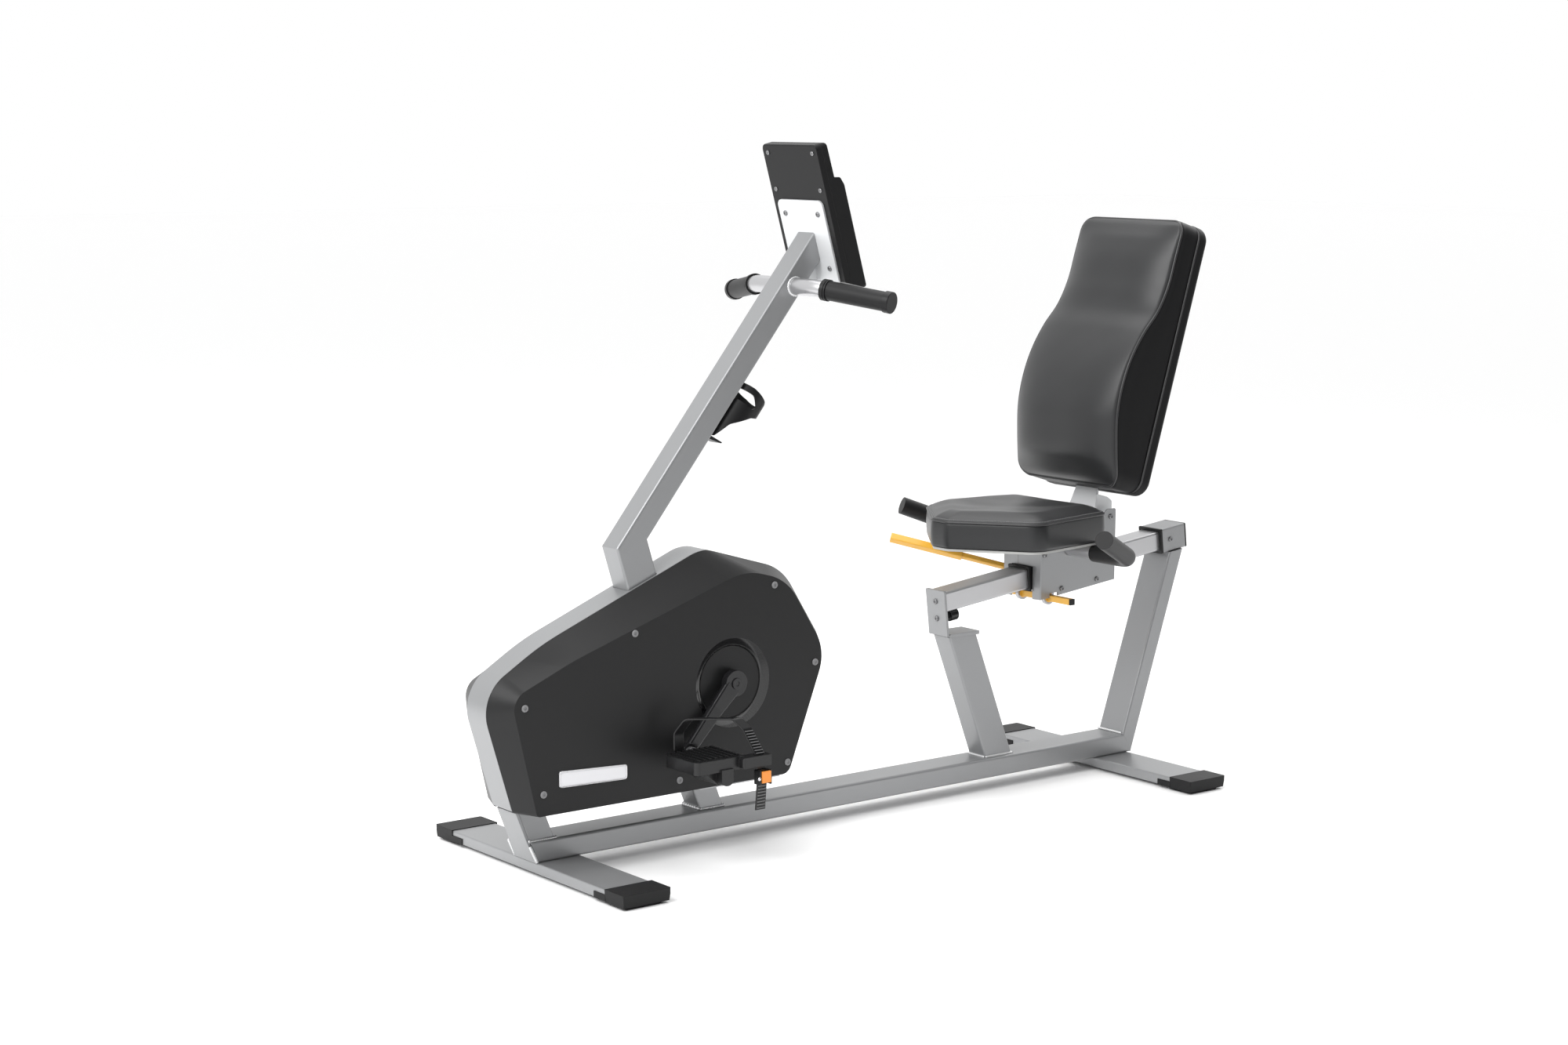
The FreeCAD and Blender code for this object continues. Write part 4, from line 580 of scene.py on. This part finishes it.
def make_back_pad():
    ends = [0.0, 0.8, 2.0, 4.0, 7.0, 11.0, 16.0, 22.0, 29.0]
    middle = list(np.linspace(BACK_LOW + 36, BACK_HIGH - 36, 70))
    heights = [BACK_LOW + e for e in ends] + middle + [BACK_HIGH - e for e in reversed(ends)]
    edges = [min(up - BACK_LOW, BACK_HIGH - up) for up in heights]
    thicknesses = smooth_curve(BACK_CONTOUR, heights)
    crowns = smooth_curve(BACK_CROWN, heights)
    vertices = []
    count = 0
    for up, edge, thick, bulge in zip(heights, edges, thicknesses, crowns):
        half = BACK_HALF - 1.0 - round_off(edge, BACK_FRONT_CORNER)
        front = thick - round_off(edge, BACK_EDGE) - 1.0
        section = back_section(half, front, bulge * min(edge / 45, 1) ** 0.5)
        count = len(section)
        for forward, y in section:
            shift = 0.25 * wrinkle(up * 1.3, y * 1.3) if forward > front - 1 else 0.0
            vertices.append(on_back(forward + shift, y, up))
    faces = tube_faces(len(heights), count, False)
    looks = []
    for edge in edges[:-1]:
        for k in range(count):
            looks.append(0 if 12 <= k < count - 13 and edge > 3 else 1)
    looks += [1, 1]
    pad = new_object("backrest_pad", "seat", [VINYL, VINYL_DARK])
    fill_mesh(pad, vertices, faces, True, looks)
    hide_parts("backrest_cushion")


def make_back_piping():
    """Piping round the front edge of the cushion, and round its seam with the shell."""
    middle = BACK_TALL / 2
    corners = [(-142, 4), (142, 4), (142, 554), (-142, 554)]
    loop = rounded_outline(corners, [30, 30, 30, 30], 5.0)
    fronts = smooth_curve(BACK_CONTOUR, [p.y for p in loop])
    front_path = []
    for forward, p in zip(fronts, loop):
        fall = round_off(min(p.y - BACK_LOW, BACK_HIGH - p.y), BACK_EDGE)
        front_path.append(on_back(forward - 4.2 - fall * 0.5, p.x * 1.004, p.y))
    rear_path = [on_back(CUSHION_START + 0.5, p.x * 1.012, (p.y - middle) * 1.004 + middle) for p in loop]
    piping = new_object("backrest_piping", "seat", [PIPING])
    tubes = [tube_along(front_path, 0.0026, 8, True), tube_along(rear_path, 0.0022, 8, True)]
    vertices, faces = join_parts(tubes)
    fill_mesh(piping, vertices, faces)


def make_backrest():
    make_back_pad()
    make_back_piping()


# --- straps ---

# The ratchet part of a strap climbs outwards from the pedal's inner side: how far it goes back and out.
STRAP_BACK = 109.0
STRAP_OUT = 101.0
STRAP_SPAN = math.hypot(STRAP_BACK, STRAP_OUT)

# Each row of ribs: distance along the strap and height at its start and at its end, and how many ribs.
RIB_ROWS = (
    ((124.5, 50.0), (STRAP_SPAN - 4, 11.0), 9),
    ((STRAP_SPAN - 0.4, -48.0), (STRAP_SPAN - 2.8, -88.0), 8),
)


def pedal_place(side):
    """Middle of a pedal's axle: station and height."""
    reach = CRANK_LENGTH * math.cos(math.radians(CRANK_ANGLE))
    drop = CRANK_LENGTH * math.sin(math.radians(CRANK_ANGLE))
    if side < 0:
        return CRANK_STATION - reach, CRANK_HEIGHT - drop
    return CRANK_STATION + reach, CRANK_HEIGHT + drop


def strap_point(side, along, height):
    """Point on the strap's middle line, from the distance along its slanting plane."""
    x, z = pedal_place(side)
    share = along / STRAP_SPAN
    return at(x - 37 + STRAP_BACK * share, side * (125 + STRAP_OUT * share), z + height)


def make_strap_ribs(side):
    """Cross ribs of the ratchet part of a strap, in a light grey that paints their highlights."""
    name = "left" if side < 0 else "right"
    shape = bmesh.new()
    for start, end, ribs in RIB_ROWS:
        a = strap_point(side, *start)
        b = strap_point(side, *end)
        along = (b - a).normalized()
        out = along.cross(Vector((1, 0, 0))).normalized()
        for k in range(ribs):
            centre = a + (b - a) * (k / (ribs - 1))
            add_box(shape, centre, Vector((0.0085, 0, 0)), along * 0.0009, out * 0.0026)
    ribs = new_object(name + "_strap_ribs", name + "_pedal_body", [RIB_PAINTED_HIGHLIGHT])
    keep_shape(ribs, shape, False)


# --- welds ---

SUPPORT_LEAN = 22.0
MID_SUPPORT_STATION = 366.0
MID_SUPPORT_DEPTH = 54.0
HANDLEBAR_STATION = 583.0
HANDLEBAR_HEIGHT = 1022.0
HANDLEBAR_WELD = 16.5


def weld(path, radius=0.0032, step=0.0042):
    """Row of overlapping drops along a path of points, in metres."""
    places = [0.0]
    for a, b in zip(path, path[1:]):
        places.append(places[-1] + (b - a).length)
    steps = max(int(places[-1] / step), 2) * 4
    spaced = [places[-1] * i / steps for i in range(steps + 1)]
    xs = np.interp(spaced, places, [p.x for p in path])
    ys = np.interp(spaced, places, [p.y for p in path])
    zs = np.interp(spaced, places, [p.z for p in path])
    line = [Vector(point) for point in zip(xs, ys, zs)]
    return tube_along(line, lambda i: radius * (0.80 + 0.20 * abs(math.cos(math.pi * i / 4))), 8)


def front_support_welds():
    """Welds at the foot of the leaning front support."""
    foot = -(BEAM_TOP - CROSSBAR_TOP) * math.tan(math.radians(SUPPORT_LEAN))
    shapes = [weld([at(foot + 3, y, BEAM_TOP + 2) for y in (-30, 30)])]
    for side in (-1, 1):
        shapes.append(weld([at(foot + 4, side * 30, BEAM_TOP), at(foot + 62, side * 30, BEAM_TOP)]))
        shapes.append(weld([at(2, side * 36, CROSSBAR_TOP + 2), at(-12, side * 35, BEAM_TOP - 8)]))
    return shapes


def middle_support_welds():
    """Welds round the foot of the upright under the casing."""
    front = MID_SUPPORT_STATION
    rear = front + MID_SUPPORT_DEPTH
    height = BEAM_TOP + 1
    shapes = [
        weld([at(front - 1, -24, height + 1), at(front - 1, 24, height + 1)], 0.0058, 0.0065),
        weld([at(rear, -24, height), at(rear, 24, height)], 0.0035),
    ]
    for side in (-1, 1):
        shapes.append(weld([at(front, side * 25, height), at(rear, side * 25, height)], 0.003))
    return shapes


def seat_leg_welds():
    """Welds round the foot of the leg under the front of the seat rail, and at the beam's rear end."""
    height = BEAM_TOP + 1
    shapes = [weld([at(x, -23, height), at(x, 23, height)], 0.003) for x in (1070.5, 1144)]
    for side in (-1, 1):
        shapes.append(weld([at(1072, side * 25, height), at(1143, side * 25, height)], 0.0028))
    shapes.append(weld([at(1442, -33, BEAM_TOP + 2), at(1442, 33, BEAM_TOP + 2)], 0.0028))
    return shapes


def handlebar_welds():
    """Rings where the handlebar passes through the console post."""
    shapes = []
    for side in (-1, 1):
        ring = []
        for k in range(25):
            angle = 2 * math.pi * k / 24
            x = HANDLEBAR_STATION + HANDLEBAR_WELD * math.cos(angle)
            ring.append(at(x, side * 25.5, HANDLEBAR_HEIGHT + HANDLEBAR_WELD * math.sin(angle)))
        shapes.append(weld(ring, 0.0026))
    return shapes


def make_welds():
    shapes = front_support_welds() + middle_support_welds() + seat_leg_welds() + handlebar_welds()
    beads = new_object("weld_beads", "frame", [WELD])
    vertices, faces = join_parts(shapes)
    fill_mesh(beads, vertices, faces)


# --- small trim ---

# Liner of a crank's round recess: radius and distance out from the middle of the machine at each rim.
RECESS_OUTER_RIM = (83.2, 80.15)
RECESS_INNER_RIM = (68.2, 69.6)
RECESS_LINER = 0.6

BADGE_CORNERS = [(20, 169), (164, 165), (164, 191), (20, 198)]
BADGE_MIDDLE = Vector((92, 180.75))
BADGE_BORDER_OUT = 81.7
BADGE_FIELD_FRONT = 81.95
BADGE_FIELD_BACK = 81.3


def make_recess_ring(side, name):
    """Conical liner of one recess: a four-sided profile spun round the crank's axle."""
    outer, outer_y = RECESS_OUTER_RIM
    inner, inner_y = RECESS_INNER_RIM
    lip = RECESS_LINER
    profile = ((outer, outer_y), (inner, inner_y), (inner - lip, inner_y + lip), (outer, inner_y + lip))
    shape = bmesh.new()
    points = [shape.verts.new(at(CRANK_STATION + radius, side * y, CRANK_HEIGHT)) for radius, y in profile]
    edges = [shape.edges.new((points[i - 1], points[i])) for i in range(4)]
    bmesh.ops.spin(
        shape, geom=points + edges, cent=at(CRANK_STATION, 0, CRANK_HEIGHT), axis=(0, 1, 0),
        angle=2 * math.pi, steps=96, use_merge=True,
    )
    ring = new_object(name, "frame", [GLOSS])
    keep_shape(ring, shape)


def make_dish_rings():
    """Glossy liners of the round recesses that the cranks turn in."""
    for side, name in ((-1, "left"), (1, "right")):
        make_recess_ring(side, name + "_recess_ring")


def make_badge_trim():
    """Raised border and plain field on each side badge."""
    loop = rounded_outline(BADGE_CORNERS, [4, 4, 4, 4], 3.0)
    path = [BADGE_MIDDLE + (p - BADGE_MIDDLE) * 0.985 for p in loop]
    inner = [BADGE_MIDDLE + (p - BADGE_MIDDLE) * Vector((0.955, 0.80)) for p in loop]
    borders = []
    shape = bmesh.new()
    for side in (-1, 1):
        borders.append(tube_along([at(p.x, side * BADGE_BORDER_OUT, p.y) for p in path], 0.0010, 6, True))
        front = shape.faces.new([shape.verts.new(at(p.x, side * BADGE_FIELD_FRONT, p.y)) for p in inner])
        add_thickness(shape, front, Vector((0, side * (BADGE_FIELD_BACK - BADGE_FIELD_FRONT) * MM, 0)))
    border = new_object("badge_borders", "frame", [CHROME])
    fill_mesh(border, *join_parts(borders))
    field = new_object("badge_fields", "frame", [BADGE_INSET])
    keep_shape(field, shape, False)


def make_buckle_rivets():
    """Bright rivet on each strap buckle, beside its lever."""
    widths = [0.0034, 0.0034, 0.0016]
    for side, name in ((-1, "left"), (1, "right")):
        low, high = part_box(name + "_buckle_lever")
        face = low.y if side < 0 else high.y
        centre = Vector((low.x - 0.0055, face - side * 0.0030, (low.z + high.z) / 2 - 0.002))
        path = [centre, centre + Vector((0, side * 0.0022, 0)), centre + Vector((0, side * 0.0036, 0))]
        rivet = new_object(name + "_buckle_rivet", name + "_pedal_body", [CHROME])
        fill_mesh(rivet, *tube_along(path, lambda i: widths[i], 14))


# --- stage ---

def stage_sheet(name, corners, color, rough):
    """Flat four-cornered sheet that belongs to the stage."""
    mesh = bpy.data.meshes.new(name)
    sheet = bpy.data.objects.new(name, mesh)
    bpy.context.scene.collection.objects.link(sheet)
    shape = bmesh.new()
    shape.faces.new([shape.verts.new(corner) for corner in corners])
    shape.to_mesh(mesh)
    shape.free()
    look = bpy.data.materials.new(name)
    look.use_nodes = True
    shader = look.node_tree.nodes["Principled BSDF"]
    shader.inputs["Base Color"].default_value = (color, color, color, 1)
    shader.inputs["Roughness"].default_value = rough
    mesh.materials.append(look)
    return sheet


def make_lamp(name, place, target, size, power):
    data = bpy.data.lights.new(name, "AREA")
    data.energy = power
    data.size = size
    lamp = bpy.data.objects.new(name, data)
    bpy.context.scene.collection.objects.link(lamp)
    lamp.location = place
    lamp.rotation_euler = (Vector(target) - Vector(place)).to_track_quat("-Z", "Y").to_euler()


def make_stage():
    """White room with a dark card beside the machine, which only its reflections show."""
    world = bpy.data.worlds.new("studio")
    bpy.context.scene.world = world
    world.use_nodes = True
    world.node_tree.nodes["Background"].inputs["Color"].default_value = (1, 1, 1, 1)
    world.node_tree.nodes["Background"].inputs["Strength"].default_value = 1.0
    stage_sheet("floor", [(-30, -30, 0), (30, -30, 0), (30, 30, 0), (-30, 30, 0)], 1.0, 0.7)
    card = stage_sheet("dark_card", [(-3, -7, 0.02), (9, -7, 0.02), (9, -7, 7), (-3, -7, 7)], 0.02, 0.5)
    card.visible_camera = False
    make_lamp("key", (-3.6, -0.6, 3.4), (0, 0, 0.5), 2.6, 150)
    make_lamp("top", (0.4, 0.6, 3.8), (0, 0, 0.4), 2.8, 60)
    make_lamp("rear", (3.4, 0.8, 2.2), (0.2, 0, 0.6), 1.8, 25)


CAMERA_LENS = 64.46
CAMERA_TURN = math.radians(-37.94)
CAMERA_PITCH = math.radians(8.31)
CAMERA_ROLL = math.radians(0.25)
CAMERA_PLACE = Vector((-2.616 - MIDDLE * MM, -4.098, 1.339))


def make_camera():
    data = bpy.data.cameras.new("camera")
    data.lens = CAMERA_LENS
    data.sensor_width = 36.0
    data.clip_end = 100.0
    camera = bpy.data.objects.new("camera", data)
    bpy.context.scene.collection.objects.link(camera)
    back = Vector((
        math.sin(CAMERA_TURN) * math.cos(CAMERA_PITCH),
        -math.cos(CAMERA_TURN) * math.cos(CAMERA_PITCH),
        math.sin(CAMERA_PITCH),
    ))
    level = (-back).cross(Vector((0, 0, 1))).normalized()
    upright = level.cross(-back)
    right = level * math.cos(CAMERA_ROLL) + upright * math.sin(CAMERA_ROLL)
    up = upright * math.cos(CAMERA_ROLL) - level * math.sin(CAMERA_ROLL)
    axes = Matrix((right, up, back)).transposed().to_4x4()
    camera.matrix_world = Matrix.Translation(CAMERA_PLACE) @ axes
    bpy.context.scene.camera = camera
    bpy.context.scene.view_settings.view_transform = "Standard"


make_seat()
make_backrest()
for which in (-1, 1):
    make_strap_ribs(which)
make_welds()
make_dish_rings()
make_badge_trim()
make_buckle_rivets()
make_stage()
make_camera()
